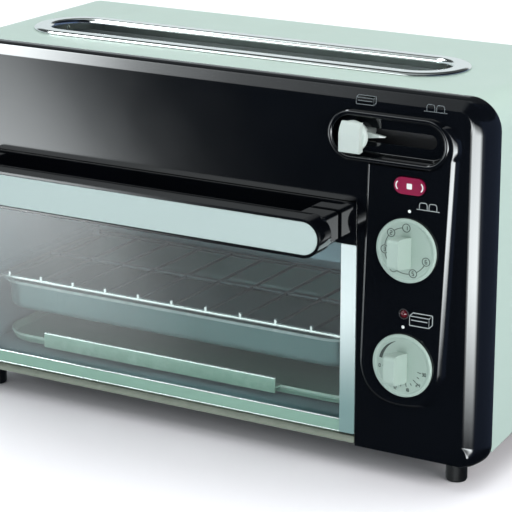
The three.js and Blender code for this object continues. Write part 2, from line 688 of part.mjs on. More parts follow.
// ---------------------------------------------------------------- door

function makeTopFrame() {
  const bar = box(DOOR_LEFT, DOOR_RIGHT, BEZEL_FRONT, DOOR_REAR, TOP_FRAME_BOTTOM, DOOR_TOP);
  const pocket = box(DOOR_LEFT + 2, DOOR_RIGHT - 2, GLASS_FRONT - GAP, DOOR_REAR + 1,
    TOP_FRAME_BOTTOM - 1, TOP_FRAME_BOTTOM + 9);
  let frame = bar.subtract(pocket);
  for (const x of HANDLE_SCREW_X) {
    frame = frame.subtract(rodY(BEZEL_FRONT - 1, DOOR_REAR + 1, x, HANDLE_SCREW_Z, 2.3, 12));
  }
  return frame;
}

function makeGlass() {
  const x0 = DOOR_LEFT + 2 + GAP;
  const x1 = DOOR_RIGHT - 2 - GAP;
  return box(x0, x1, GLASS_FRONT, GLASS_REAR, DOOR_BOTTOM + 3.5, TOP_FRAME_BOTTOM + 9 - GAP);
}

function makeStrip(x0) {
  const face = roundedRect(x0, x0 + STRIP_WIDTH, STRIP_BOTTOM, TOP_FRAME_BOTTOM - GAP, 1.5);
  return prismY(face, BEZEL_FRONT, GLASS_FRONT - GAP, 3);
}

function makeBottomRail() {
  const front = BEZEL_FRONT + 0.4;
  const channel = box(DOOR_LEFT, DOOR_RIGHT, front, DOOR_REAR, DOOR_BOTTOM, DOOR_BOTTOM + 7);
  const groove = box(DOOR_LEFT + 2, DOOR_RIGHT - 2, GLASS_FRONT - GAP, GLASS_REAR + GAP,
    DOOR_BOTTOM + 3.2, DOOR_BOTTOM + 8);
  const step = box(DOOR_LEFT - 1, DOOR_RIGHT + 1, front - 1, GLASS_FRONT,
    DOOR_BOTTOM + 4.7, DOOR_BOTTOM + 8);
  let rail = channel.subtract(groove).subtract(step);
  for (const side of [-1, 1]) {
    rail = rail.subtract(hingeRod(side, 1.9, 1, PIN_RADIUS + GAP));
  }
  return rail;
}

// A bar across the door with a round outline at each end, carried by two arms.
function makeHandle() {
  const low = HANDLE_MID_Z - HANDLE_HEIGHT / 2;
  const high = HANDLE_MID_Z + HANDLE_HEIGHT / 2;
  const face = roundedRect(HANDLE_LEFT, HANDLE_RIGHT, low, high, HANDLE_HEIGHT / 2 - 0.01);
  const armTop = high - 1;
  const armLow = TOP_FRAME_BOTTOM + 1;
  const foot = BEZEL_FRONT - GAP;
  let handle = prismY(face, HANDLE_FRONT, HANDLE_BACK, 8);
  for (const x0 of [HANDLE_LEFT + 3, HANDLE_RIGHT - 3 - HANDLE_ARM]) {
    handle = handle.add(box(x0, x0 + HANDLE_ARM, HANDLE_BACK - 2, foot, armLow, armTop));
  }
  for (const x of HANDLE_SCREW_X) {
    handle = handle.subtract(rodY(HANDLE_BACK + 2, foot + 1, x, HANDLE_SCREW_Z, 1.8, 12));
  }
  return handle.subtract(prismY(inlayShape(0), HANDLE_FRONT - 1, HANDLE_FRONT + 1.5, 8));
}

function inlayShape(shrink) {
  const margin = (HANDLE_HEIGHT - INLAY_HEIGHT) / 2 + shrink;
  const low = HANDLE_MID_Z - INLAY_HEIGHT / 2 + shrink;
  const high = HANDLE_MID_Z + INLAY_HEIGHT / 2 - shrink;
  const radius = INLAY_HEIGHT / 2 - shrink - 0.01;
  return roundedRect(HANDLE_LEFT + margin, HANDLE_RIGHT - margin, low, high, radius);
}

function makeInlay() {
  return prismY(inlayShape(GAP), HANDLE_FRONT + 0.2, HANDLE_FRONT + 1.5 - GAP, 8);
}

function makeHandleScrew(x) {
  return rodY(HANDLE_BACK + 4, DOOR_REAR + 1, x, HANDLE_SCREW_Z, 1.5, 10)
    .add(rodY(DOOR_REAR + GAP, DOOR_REAR + 2, x, HANDLE_SCREW_Z, 3.6, 10));
}

// A rod on the door's hinge line: it starts inside the door's end and runs outwards.
function hingeRod(side, inward, outward, radius) {
  const edge = side < 0 ? DOOR_LEFT : DOOR_RIGHT;
  const ends = [edge - side * inward, edge + side * outward];
  return rodX(Math.min(...ends), Math.max(...ends), HINGE_Y, HINGE_Z, radius, 16);
}

function makeHingePin(side) {
  return hingeRod(side, 1.6, 4.2, PIN_RADIUS);
}

// ---------------------------------------------------------------- controls

// A disc with a raised rim, and a grip across it that leans up towards its front.
function makeKnob({ x, z }) {
  const disc = new THREE.LatheGeometry([
    [0, 0], [KNOB_RADIUS - 0.4, 0], [KNOB_RADIUS, 0.4], [KNOB_RADIUS, 1.3], [KNOB_RADIUS - 0.6, 1.7],
    [KNOB_RADIUS - 2.2, 1.7], [KNOB_RADIUS - 2.6, 1.3], [0, 1.3],
  ].map(([r, h]) => new THREE.Vector2(r, h)), 40);
  disc.rotateX(Math.PI);
  disc.translate(x, KNOB_FACE + KNOB_THICK, z);
  const root = KNOB_FACE + 1;
  const grip = new THREE.Shape();
  grip.moveTo(root, z - 10.3);
  grip.lineTo(root, z + 8.4);
  grip.lineTo(GRIP_FRONT + 3.2, z + 11.6);
  grip.quadraticCurveTo(GRIP_FRONT, z + 12, GRIP_FRONT, z + 8.8);
  grip.lineTo(GRIP_FRONT, z - 4.2);
  grip.quadraticCurveTo(GRIP_FRONT, z - 7, GRIP_FRONT + 3, z - 7.4);
  return toSolid(disc).add(prismX(grip, x - GRIP_HALF, x + GRIP_HALF, 5));
}

function makeShaft({ x, z }) {
  return rodY(KNOB_FACE + KNOB_THICK + GAP, SHAFT_END, x, z, SHAFT_RADIUS, 16);
}

// A grip with a sloped top on a round cap and its neck, a pointer, and a stem through the track.
function makeSelector() {
  const { radius, front, rear } = SELECTOR_CAP;
  const face = SELECTOR_FRONT;
  const [low, brow, high] = [SELECTOR_Z - 9.4, SELECTOR_Z + 3.2, SELECTOR_Z + 9];
  const grip = polygon([[front + 0.5, low], [front + 0.5, high], [front, high], [face, brow],
    [face, low + 1.5], [face + 1.5, low]]);
  const pointerRoot = SELECTOR_X + 4;
  const tip = SELECTOR_X + 19.3;
  const pointer = polygon([[pointerRoot, SELECTOR_Z - 2.4], [tip, SELECTOR_Z - 0.5],
    [tip, SELECTOR_Z + 0.5], [pointerRoot, SELECTOR_Z + 2.4]]);
  const seat = RECESS_FLOOR - 0.5;
  const stem = obround(SELECTOR_X, SELECTOR_Z, ...STEM_HALF);
  return prismX(grip, SELECTOR_X - 6.8, SELECTOR_X + 6.8, 4)
    .add(rodY(front, rear, SELECTOR_X, SELECTOR_Z, radius, 32))
    .add(rodY(rear - 1, seat, SELECTOR_X, SELECTOR_Z, SELECTOR_NECK, 24))
    .add(prismY(pointer, seat - 2, seat))
    .add(prismY(stem, seat - 1, SELECTOR_RAIL.front - 2));
}

function makeStopButton() {
  const cap = prismY(obround(STOP.x, STOP.z, STOP.halfLength, STOP.halfHeight), STOP_FRONT, -66, 8);
  return cap.add(box(STOP.x - 3, STOP.x + 3, -67, -58, STOP.z - 2.5, STOP.z + 2.5));
}

function makePilotLens() {
  const lens = new THREE.LatheGeometry([
    [0, 0], [2.6, 0], [2.6, 4.2], [1.9, 5.2], [0, 5.8],
  ].map(([r, h]) => new THREE.Vector2(r, h)), 20);
  lens.rotateX(Math.PI);
  lens.translate(PILOT.x, PILOT_FRONT + 5.8, PILOT.z);
  return toSolid(lens);
}

// ---------------------------------------------------------------- control compartment

function makeControlBracket() {
  const ahead = BRACKET_FRONT - 3;
  const behind = BRACKET_FRONT + 7;
  let bracket = box(123, 184, BRACKET_FRONT, BRACKET_FRONT + SHEET, 40, 205);
  for (const { x, z } of [BROWNING, TIMER]) {
    bracket = bracket.subtract(rodY(ahead, behind, x, z, SHAFT_RADIUS + 1, 20));
  }
  return bracket.subtract(box(STOP.x - 5, STOP.x + 5, ahead, behind, STOP.z - 5, STOP.z + 5));
}

function makeControlUnit({ x, z }, { half, depth }) {
  return box(x - half, x + half, UNIT_FRONT, UNIT_FRONT + depth, z - half, z + half)
    .subtract(rodY(UNIT_FRONT - 1, SHAFT_END + 1, x, z, SHAFT_RADIUS + 0.4, 20));
}

function makeBell() {
  const dome = new THREE.LatheGeometry([
    [0, 0], [2, 0], [2, 3], [16, 3], [17, 9], [16, 9.6], [15, 4.2], [0, 4.2],
  ].map(([r, h]) => new THREE.Vector2(r, h)), 20);
  dome.translate(TIMER.x, UNIT_FRONT + TIMER_UNIT.depth + 0.5, TIMER.z);
  return toSolid(dome);
}

function makeHeatShield() {
  const x = CAVITY_RIGHT + SHEET + 3;
  return box(x, x + 0.8, CASE_FRONT + 3, TAB_FRONT, CAVITY_FLOOR + 4, CAVITY_CEILING - 4);
}

function makeSelectorRail() {
  const { left, right, front, half } = SELECTOR_RAIL;
  const low = SELECTOR_Z - half;
  const high = SELECTOR_Z + half;
  return box(left, right, front, front + 1.5, low, high)
    .add(box(left, right, front, front + 8, low, low + 1.5))
    .add(box(left, right, front, front + 8, high - 1.5, high));
}

function makeStopSwitch() {
  return box(STOP.x - 6, STOP.x + 6, -54, -44, STOP.z - 6, STOP.z + 6)
    .add(box(STOP.x - 2, STOP.x + 2, -54.6, -53, STOP.z - 2, STOP.z + 2));
}

function makeCircuitBoard() {
  const edge = BOARD_X + 0.5;
  const board = box(BOARD_X, BOARD_X + 1.6, -30, 60, 112, 196);
  const relay = box(BOARD_X - 14, edge, -20, 0, 130, 146);
  const capacitor = rodX(BOARD_X - 12, edge, 30, 165, 6, 20);
  return union([board, relay, capacitor]);
}

function makeLiftRail() {
  const x = SLOT_X + CHAMBER_HALF_LENGTH + 16;
  return rodZ(136, 230, x, SLOT_Y, 2.5, 12).add(box(x - 4, x + 4, SLOT_Y - 5, SLOT_Y + 5, 134, 138));
}

function makeCordInlet() {
  const mouth = new THREE.LatheGeometry([
    [4, 0], [8, 0], [8, 6], [11, 6], [11, 7.4], [7, 8.2], [4, 8.2], [4, 0],
  ].map(([r, h]) => new THREE.Vector2(r, h)), 24);
  mouth.translate(CORD_X, PANEL_REAR + GAP - 6, CORD_Z);
  return toSolid(mouth);
}

function makeBackScrew(x, z) {
  const seat = PANEL_REAR + GAP;
  const head = rodY(seat, seat + 1.8, x, z, 3.8, 12)
    .subtract(box(x - 2.6, x + 2.6, seat + 1, seat + 3, z - 0.5, z + 0.5))
    .subtract(box(x - 0.5, x + 0.5, seat + 1, seat + 3, z - 2.6, z + 2.6));
  return head.add(rodY(seat - 9, seat + 0.2, x, z, 1.7, 12));
}

function makeFoot(x, y) {
  const foot = new THREE.LatheGeometry([
    [0, 0], [FOOT_RADIUS - 1, 0], [FOOT_RADIUS, 1], [FOOT_RADIUS, FOOT_HEIGHT],
    [3, FOOT_HEIGHT], [3, FOOT_HEIGHT + 0.6], [0, FOOT_HEIGHT + 0.6],
  ].map(([r, h]) => new THREE.Vector2(r, h)), 18);
  foot.rotateX(Math.PI / 2);
  foot.translate(x, y, 0);
  return toSolid(foot);
}

// ---------------------------------------------------------------- scene

addPiece('outer_casing', makeCasing(), ...PAINT);
addPiece('base_plate', makeBasePlate(), ...BLACK_MATT);
addPiece('back_panel', makeBackPanel(), ...PAINT);
addPiece('front_bezel', makeBezel(), ...BLACK_GLOSS);
addPiece('control_panel', makeTongue(), ...BLACK_GLOSS);
addPiece('selector_recess', makeRecess(), ...BLACK_GLOSS);
addPiece('slot_trim', makeSlotTrim(), ...CHROME);
addPiece('toast_chamber', makeChamber(), ...STEEL);
addPiece('bread_guide_front', makeBreadGuide(SLOT_Y - GUIDE_Y), ...STEEL);
addPiece('bread_guide_rear', makeBreadGuide(SLOT_Y + GUIDE_Y), ...STEEL);
addPiece('toast_element_front', makeToastElement(SLOT_Y - TOAST_ELEMENT_Y), ...MICA);
addPiece('toast_element_rear', makeToastElement(SLOT_Y + TOAST_ELEMENT_Y), ...MICA);
addPiece('bread_carriage', makeCarriage(), ...STEEL);

addPiece('oven_liner', makeLiner(), ...DARK_STEEL);
addPiece('oven_frame', makeOvenFrame(), ...STEEL);
addPiece('tray_runner_left', makeRunner(-1), ...STEEL);
addPiece('tray_runner_right', makeRunner(1), ...STEEL);
addPiece('grill_element_front', makeElement(ELEMENT_Y[0], GRILL_Z), ...DARK_STEEL);
addPiece('grill_element_rear', makeElement(ELEMENT_Y[1], GRILL_Z), ...DARK_STEEL);
addPiece('base_element_front', makeElement(ELEMENT_Y[0], BASE_ELEMENT_Z), ...DARK_STEEL);
addPiece('base_element_rear', makeElement(ELEMENT_Y[1], BASE_ELEMENT_Z), ...DARK_STEEL);
addPiece('baking_tray', makeTray(), ...STEEL);
addPiece('wire_rack', makeRack(), ...CHROME);
addPiece('crumb_tray', makeCrumbTray(), ...STEEL);

addPiece('door_top_frame', makeTopFrame(), ...BLACK_GLOSS);
addPiece('door_glass', makeGlass(), ...GLASS);
addPiece('door_strip_right', makeStrip(DOOR_RIGHT - STRIP_WIDTH), ...SILVER_TRIM);
addPiece('door_strip_left', makeStrip(DOOR_LEFT), ...SILVER_TRIM);
addPiece('door_bottom_rail', makeBottomRail(), ...SILVER_TRIM);
addPiece('door_handle', makeHandle(), ...BLACK_GLOSS);
addPiece('handle_inlay', makeInlay(), ...SILVER_TRIM);
addPiece('hinge_pin_left', makeHingePin(-1), ...STEEL);
addPiece('hinge_pin_right', makeHingePin(1), ...STEEL);
addPiece('handle_screw_left', makeHandleScrew(HANDLE_SCREW_X[0]), ...STEEL);
addPiece('handle_screw_right', makeHandleScrew(HANDLE_SCREW_X[1]), ...STEEL);

addPiece('selector_knob', makeSelector(), ...SAGE);
addPiece('stop_button', makeStopButton(), ...RED);
addPiece('browning_knob', makeKnob(BROWNING), ...SAGE);
addPiece('browning_shaft', makeShaft(BROWNING), ...STEEL);
addPiece('timer_knob', makeKnob(TIMER), ...SAGE);
addPiece('timer_shaft', makeShaft(TIMER), ...STEEL);
addPiece('pilot_lens', makePilotLens(), ...RED);

addPiece('control_bracket', makeControlBracket(), ...STEEL);
addPiece('browning_control', makeControlUnit(BROWNING, BROWNING_UNIT), ...BLACK_MATT);
addPiece('timer_unit', makeControlUnit(TIMER, TIMER_UNIT), ...BLACK_MATT);
addPiece('timer_bell', makeBell(), ...CHROME);
addPiece('heat_shield', makeHeatShield(), ...STEEL);
addPiece('selector_rail', makeSelectorRail(), ...STEEL);
addPiece('lift_rail', makeLiftRail(), ...STEEL);
addPiece('stop_switch', makeStopSwitch(), ...BLACK_MATT);
addPiece('circuit_board', makeCircuitBoard(), ...BOARD_GREEN);
addPiece('cord_inlet', makeCordInlet(), ...BLACK_MATT);

BACK_SCREWS.forEach(([x, z], i) => addPiece(`back_screw_${i + 1}`, makeBackScrew(x, z), ...STEEL));

for (const [side, x] of [['left', -FOOT_X], ['right', FOOT_X]]) {
  for (const [end, y] of [['front', FOOT_Y[0]], ['rear', FOOT_Y[1]]]) {
    addPiece(`foot_${end}_${side}`, makeFoot(x, y), ...BLACK_MATT);
  }
}

export default toaster;
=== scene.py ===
"""Looks for the combined slot toaster and mini oven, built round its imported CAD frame.

Shapes are worked out in millimetres, in the frame's own axes, and turned into metres when a mesh
is made: +X to the right of a person facing the door, the door faces -Y, +Z up, and the origin is
on the table under the middle of the object.
"""

import json
import math

import bmesh
import bpy
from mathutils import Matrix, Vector
from mathutils.geometry import tessellate_polygon


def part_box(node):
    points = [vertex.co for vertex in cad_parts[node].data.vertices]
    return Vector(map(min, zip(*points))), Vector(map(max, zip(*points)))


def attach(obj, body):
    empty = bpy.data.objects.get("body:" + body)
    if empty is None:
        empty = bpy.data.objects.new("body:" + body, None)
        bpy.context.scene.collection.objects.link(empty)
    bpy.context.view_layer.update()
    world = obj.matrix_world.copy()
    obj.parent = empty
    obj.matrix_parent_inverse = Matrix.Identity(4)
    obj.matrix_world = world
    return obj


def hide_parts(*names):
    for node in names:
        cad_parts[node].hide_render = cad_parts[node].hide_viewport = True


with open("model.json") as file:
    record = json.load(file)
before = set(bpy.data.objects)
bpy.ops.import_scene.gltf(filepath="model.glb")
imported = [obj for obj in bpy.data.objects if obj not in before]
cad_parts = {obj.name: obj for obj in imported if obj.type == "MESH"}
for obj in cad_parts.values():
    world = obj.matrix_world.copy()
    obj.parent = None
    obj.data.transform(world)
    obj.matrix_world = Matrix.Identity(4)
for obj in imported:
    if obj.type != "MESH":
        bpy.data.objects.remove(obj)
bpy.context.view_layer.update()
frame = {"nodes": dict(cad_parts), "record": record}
MM = 0.001
GAP = 0.3


def node_box(node):
    """A CAD node's sides in millimetres: x0, x1, y0, y1, z0, z1."""
    low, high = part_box(node)
    return [value / MM for pair in zip(low, high) for value in pair]


def centre(node):
    """The middle of a CAD node as it is seen from the front, as x and z."""
    x0, x1, _, _, z0, z1 = node_box(node)
    return (x0 + x1) / 2, (z0 + z1) / 2


# ---- camera

CAMERA_AZIMUTH = math.radians(30.22)
CAMERA_ELEVATION = math.radians(16.73)
CAMERA_PLACE = (0.7112, -1.2145, 0.5276)
CAMERA_LENS = 156.84


def make_camera():
    data = bpy.data.cameras.new("camera")
    data.lens = CAMERA_LENS
    data.sensor_width = 36.0
    data.clip_start = 0.01
    camera = bpy.data.objects.new("camera", data)
    camera.location = CAMERA_PLACE
    camera.rotation_euler = (math.pi / 2 - CAMERA_ELEVATION, 0.0, CAMERA_AZIMUTH)
    bpy.context.scene.collection.objects.link(camera)
    bpy.context.scene.camera = camera


# ---- node helpers

class Tree:
    """A short way to add and wire shader nodes."""

    def __init__(self, tree):
        self.tree = tree
        tree.nodes.clear()

    def add(self, kind, inputs=None, **settings):
        node = self.tree.nodes.new(kind)
        for key, value in settings.items():
            setattr(node, key, value)
        for key, value in (inputs or {}).items():
            if isinstance(value, bpy.types.NodeSocket):
                self.tree.links.new(value, node.inputs[key])
            else:
                node.inputs[key].default_value = value
        return node

    def maths(self, operation, first, second=0.0):
        return self.add("ShaderNodeMath", {0: first, 1: second}, operation=operation).outputs[0]

    def ramp(self, value, stops):
        node = self.add("ShaderNodeValToRGB", {"Fac": value})
        elements = node.color_ramp.elements
        elements[0].position, elements[1].position = stops[0][0], stops[-1][0]
        for place, _ in stops[1:-1]:
            elements.new(place)
        for element, (_, colour) in zip(elements, stops):
            element.color = (*colour, 1) if isinstance(colour, tuple) else (colour, colour, colour, 1)
        return node.outputs["Color"]

    def noise(self, where, scale, detail=3.0, roughness=0.55):
        inputs = {"Vector": where, "Scale": scale, "Detail": detail, "Roughness": roughness}
        return self.add("ShaderNodeTexNoise", inputs).outputs["Fac"]

    def mix(self, factor, first, second):
        node = self.add("ShaderNodeMix", data_type="RGBA")
        for key, value in (("Factor", factor), (6, first), (7, second)):
            socket = node.inputs[key]
            if isinstance(value, bpy.types.NodeSocket):
                self.tree.links.new(value, socket)
            else:
                socket.default_value = value
        return node.outputs[2]

    def spread(self, value, low, high):
        inputs = {"Value": value, "From Min": 0.25, "From Max": 0.75, "To Min": low, "To Max": high}
        return self.add("ShaderNodeMapRange", inputs).outputs["Result"]


def started(name):
    """A new material, its tree, and the place on the piece that its textures follow."""
    material = bpy.data.materials.new(name)
    material.use_nodes = True
    tree = Tree(material.node_tree)
    return material, tree, tree.add("ShaderNodeTexCoord").outputs["Object"]


def surface(name, colour, roughness, metallic=0.0, shade=0.05, shade_scale=9.0, smudge=0.04, grain=900.0,
            bump=0.02, brushed=None, wear=None, painted_shade_by_height=None, fixed=None):
    """A Principled material with colour, roughness and bump that vary over the surface.

    shade is the strength of the colour drift, smudge that of the roughness drift, grain the scale
    of the fine bump per metre, brushed a stretch of the grain per axis, wear a colour for the
    edges that hands and cloths rub, painted_shade_by_height a painted shade: a darker colour that comes in
    between two heights, from the upper one down to the lower, and fixed the shader's other values.
    """
    material, tree, where = started(name)
    drift = tree.noise(where, shade_scale, 4.0)
    stretched = tree.add("ShaderNodeMapping", {"Vector": where, "Scale": brushed or (1, 1, 1)}).outputs[0]
    fine = tree.noise(stretched, grain, 2.0)
    dark = tuple(c * (1 - shade) for c in colour) + (1,)
    light = tuple(min(1.0, c * (1 + shade)) for c in colour) + (1,)
    tint = tree.mix(tree.spread(drift, 0, 1), dark, light)
    if brushed:
        tint = tree.mix(tree.spread(fine, 0, 0.35), tint, dark)
    # Painted shade: the colour goes over to a darker tone from the upper height down to the lower.
    if painted_shade_by_height:
        tone, upper, lower = painted_shade_by_height
        height = tree.add("ShaderNodeSeparateXYZ", {0: where}).outputs[2]
        inputs = {"Value": height, "From Min": upper * MM, "From Max": lower * MM}
        share = tree.add("ShaderNodeMapRange", inputs, interpolation_type="SMOOTHSTEP").outputs["Result"]
        tint = tree.mix(share, tint, (*tone, 1))
    rough = tree.spread(tree.noise(where, shade_scale * 3.3, 5.0), roughness - smudge, roughness + smudge)
    if wear:
        edge = tree.add("ShaderNodeNewGeometry").outputs["Pointiness"]
        broken = tree.maths("MULTIPLY", tree.noise(where, 160.0, 4.0), 0.05)
        worn = tree.ramp(tree.maths("ADD", edge, broken), [(0.0, 0.0), (0.565, 0.0), (0.62, 0.55)])
        tint = tree.mix(worn, tint, (*wear, 1))
        rough = tree.maths("ADD", rough, tree.maths("MULTIPLY", worn, 0.12))
    normal = tree.add("ShaderNodeBump", {"Height": fine, "Strength": bump, "Distance": 0.0004}).outputs[0]
    inputs = {"Base Color": tint, "Roughness": rough, "Metallic": metallic, "Normal": normal}
    shader = tree.add("ShaderNodeBsdfPrincipled", {**inputs, **(fixed or {})})
    tree.add("ShaderNodeOutputMaterial", {"Surface": shader.outputs[0]})
    return material


def glass_surface(name, tint):
    """Clear glass with faint wipe marks, which lets light through to the oven."""
    material, tree, where = started(name)
    wiped = tree.add("ShaderNodeMapping", {"Vector": where, "Scale": (1.0, 1.0, 5.0)}).outputs[0]
    marks = tree.noise(wiped, 14.0, 6.0)
    colour = tree.mix(tree.spread(marks, 0, 1), (*tint, 1), (*(c * 0.97 for c in tint), 1))
    rough = tree.spread(marks, 0.0, 0.035)
    normal = tree.add("ShaderNodeBump", {"Height": marks, "Strength": 0.01, "Distance": 0.0005}).outputs[0]
    glass = tree.add("ShaderNodeBsdfPrincipled", {
        "Base Color": colour, "Roughness": rough, "Normal": normal, "Transmission Weight": 1.0, "IOR": 1.5})
    clear = tree.add("ShaderNodeBsdfTransparent", {"Color": (*tint, 1)})
    shadow = tree.add("ShaderNodeLightPath").outputs["Is Shadow Ray"]
    both = tree.add("ShaderNodeMixShader", {0: shadow, 1: glass.outputs[0], 2: clear.outputs[0]})
    tree.add("ShaderNodeOutputMaterial", {"Surface": both.outputs[0]})
    return material


ALONG_X = (0.03, 1.0, 1.0)   # stretches the grain along X
GLASS_TINT = (0.93, 0.985, 0.97)
# name: colour, roughness, metallic, shade, grain, bump, and any other values of surface()
LOOKS = {
    "casing_paint": ((0.395, 0.515, 0.455), 0.4, 0.12, 0.025, 2600, 0.05,
                     dict(wear=(0.5, 0.6, 0.55), fixed={"Coat Weight": 0.25, "Coat Roughness": 0.22})),
    "gloss_black": ((0.002, 0.0026, 0.0038), 0.075, 0, 0.3, 260, 0.006,
                    dict(smudge=0.02, fixed={"IOR": 1.5, "Coat Weight": 0.3, "Coat Roughness": 0.04})),
    "matt_black": ((0.018, 0.019, 0.021), 0.55, 0, 0.2, 1400, 0.25),
    "foot_rubber": ((0.004, 0.0045, 0.005), 0.5, 0, 0.25, 1800, 0.1,
                    dict(fixed={"Specular IOR Level": 0.2})),
    "slot_chrome": ((0.88, 0.92, 0.9), 0.1, 1, 0.02, 500, 0.01, dict(smudge=0.025)),
    "rack_wire": ((0.8, 0.87, 0.85), 0.24, 0.85, 0.06, 900, 0.04, dict(shade_scale=30)),
    "oven_steel": ((0.23, 0.36, 0.41), 0.46, 0.3, 0.14, 700, 0.08, dict(brushed=ALONG_X)),
    "plain_steel": ((0.62, 0.68, 0.67), 0.3, 0.95, 0.08, 800, 0.06, dict(brushed=ALONG_X)),
    "element_tube": ((0.1, 0.105, 0.11), 0.5, 0.6, 0.3, 1500, 0.2, dict(shade_scale=40)),
    "element_board": ((0.48, 0.44, 0.35), 0.6, 0, 0.15, 900, 0.25, dict(shade_scale=45)),
    # Painted shade: the tray metal is darkened below the bare aluminium's tone, for the shade inside the
    # oven.
    "tray_metal": ((0.1, 0.185, 0.185), 0.36, 0.45, 0.1, 800, 0.08,
                   dict(brushed=ALONG_X, wear=(0.75, 0.85, 0.82))),
    # Painted shade: a dark copy of the rack wire, for the rods and back bars deeper in the oven.
    "shaded_rack_wire": ((0.1, 0.14, 0.15), 0.4, 0.5, 0.1, 900, 0.05, dict(shade_scale=30)),
    "rail_olive": ((0.085, 0.1, 0.075), 0.38, 0.4, 0.15, 900, 0.06,
                   dict(brushed=ALONG_X, wear=(0.3, 0.34, 0.28))),
    "sill_green": ((0.235, 0.4, 0.32), 0.36, 0.3, 0.12, 900, 0.08, dict(brushed=ALONG_X)),
    # Painted shade: a darker copy of the sage plastic, for the knobs' sunk faces.
    "shaded_dial_face": ((0.29, 0.39, 0.34), 0.5, 0, 0.04, 1900, 0.08),
    "tab_green": ((0.29, 0.5, 0.4), 0.4, 0.2, 0.12, 800, 0.08,
                  dict(shade_scale=14, brushed=ALONG_X, wear=(0.8, 0.95, 0.9))),
    # Painted shade: the door strips darken towards their lower ends, from 112 mm down to 36 mm.
    "silver_trim": ((0.74, 0.86, 0.85), 0.36, 0.25, 0.03, 1500, 0.04,
                    dict(brushed=(1.0, 1.0, 0.05), painted_shade_by_height=((0.19, 0.31, 0.3), 112, 36))),
    "inlay_silver": ((0.42, 0.525, 0.505), 0.46, 0.15, 0.03, 1700, 0.05, dict(brushed=(0.04, 1.0, 1.0))),
    "sage_plastic": ((0.315, 0.42, 0.37), 0.42, 0, 0.04, 1900, 0.1, dict(wear=(0.4, 0.5, 0.45))),
    "slider_plastic": ((0.46, 0.54, 0.505), 0.42, 0, 0.04, 1900, 0.1, dict(wear=(0.5, 0.56, 0.53))),
    "stop_red": ((0.2, 0.005, 0.04), 0.22, 0, 0.12, 900, 0.03, dict(shade_scale=60)),
    "lens_red": ((0.07, 0.003, 0.008), 0.12, 0, 0.2, 700, 0.05, dict(shade_scale=90)),
    "circuit_green": ((0.02, 0.09, 0.04), 0.45, 0, 0.35, 700, 0.4, dict(shade_scale=120)),
    "print_white": ((0.7, 0.76, 0.73), 0.5, 0, 0.06, 1500, 0.05),
    "print_mark": ((0.3, 0.34, 0.34), 0.5, 0, 0.06, 1500, 0.05),
    "print_grey": ((0.105, 0.125, 0.13), 0.5, 0, 0.06, 1500, 0.05),
    "print_dark": ((0.02, 0.035, 0.03), 0.5, 0, 0.1, 1500, 0.05),
}


def make_materials():
    """One material for each row of the table, and the glass."""
    made = {"door_glass": glass_surface("door_glass", GLASS_TINT)}
    for name, (colour, roughness, metallic, shade, grain, bump, *more) in LOOKS.items():
        made[name] = surface(name, colour, roughness, metallic, shade=shade, grain=grain, bump=bump,
                             **(more[0] if more else {}))
    return made


# ---- outlines, in millimetres

def arc(x, y, radius, start, end, steps):
    """Points on an arc from start to end, in degrees, both ends in."""
    angles = [math.radians(start + (end - start) * k / steps) for k in range(steps + 1)]
    return [(x + radius * math.cos(a), y + radius * math.sin(a)) for a in angles]


def round_rect(x0, x1, y0, y1, radius, steps=8):
    inner = [(x1 - radius, y1 - radius, 0), (x0 + radius, y1 - radius, 90),
             (x0 + radius, y0 + radius, 180), (x1 - radius, y0 + radius, 270)]
    return [p for x, y, a in inner for p in arc(x, y, radius, a, a + 90, steps)]


def obround(x, y, half_length, half_height, steps=16):
    reach = half_length - half_height
    return (arc(x + reach, y, half_height, -90, 90, steps)
            + arc(x - reach, y, half_height, 90, 270, steps))


def box_obround(box, grow=0.0, steps=16):
    """A box's front outline as an obround, grown all round."""
    x0, x1, _, _, z0, z1 = box
    return obround((x0 + x1) / 2, (z0 + z1) / 2, (x1 - x0) / 2 + grow, (z1 - z0) / 2 + grow, steps)


def circle(x, y, radius, steps=48):
    return arc(x, y, radius, 0, 360 - 360 / steps, steps - 1)


def bezier(a, b, c, d, steps=12):
    """Points after a, up to d, on a cubic curve."""
    points = []
    for k in range(1, steps + 1):
        t = k / steps
        weights = ((1 - t) ** 3, 3 * t * (1 - t) ** 2, 3 * t * t * (1 - t), t ** 3)
        points.append(tuple(sum(w * p[i] for w, p in zip(weights, (a, b, c, d))) for i in (0, 1)))
    return points


def curve(points, b, c, d, steps=12):
    """Carries a line of points on along a cubic curve."""
    points += bezier(points[-1], b, c, d, steps)


def stroke(points, width):
    """The outline of a pen stroke of one width along a line of points."""
    left, right = [], []
    for k, point in enumerate(points):
        before = Vector(points[max(k - 1, 0)])
        after = Vector(points[min(k + 1, len(points) - 1)])
        along = (after - before).normalized()
        side = Vector((-along.y, along.x)) * width / 2
        left.append(tuple(Vector(point) + side))
        right.append(tuple(Vector(point) - side))
    return left + right[::-1]


# ---- meshes

SMOOTH_ANGLE = math.radians(38)
AXES = {
    "x": lambda a, b, c: (c, a, b),
    "y": lambda a, b, c: (a, c, b),
    "z": lambda a, b, c: (a, b, c),
}


def new_object(name, mesh):
    piece = bpy.data.objects.new(name, mesh)
    bpy.context.scene.collection.objects.link(piece)
    return piece


def from_faces(name, points, faces):
    """A closed piece from points in millimetres, with its faces turned outwards."""
    mesh = bpy.data.meshes.new(name)
    mesh.from_pydata([tuple(c * MM for c in p) for p in points], [], faces)
    solid = bmesh.new()
    solid.from_mesh(mesh)
    bmesh.ops.remove_doubles(solid, verts=solid.verts, dist=1e-7)
    bmesh.ops.recalc_face_normals(solid, faces=solid.faces)
    solid.to_mesh(mesh)
    solid.free()
    return new_object(name, mesh)


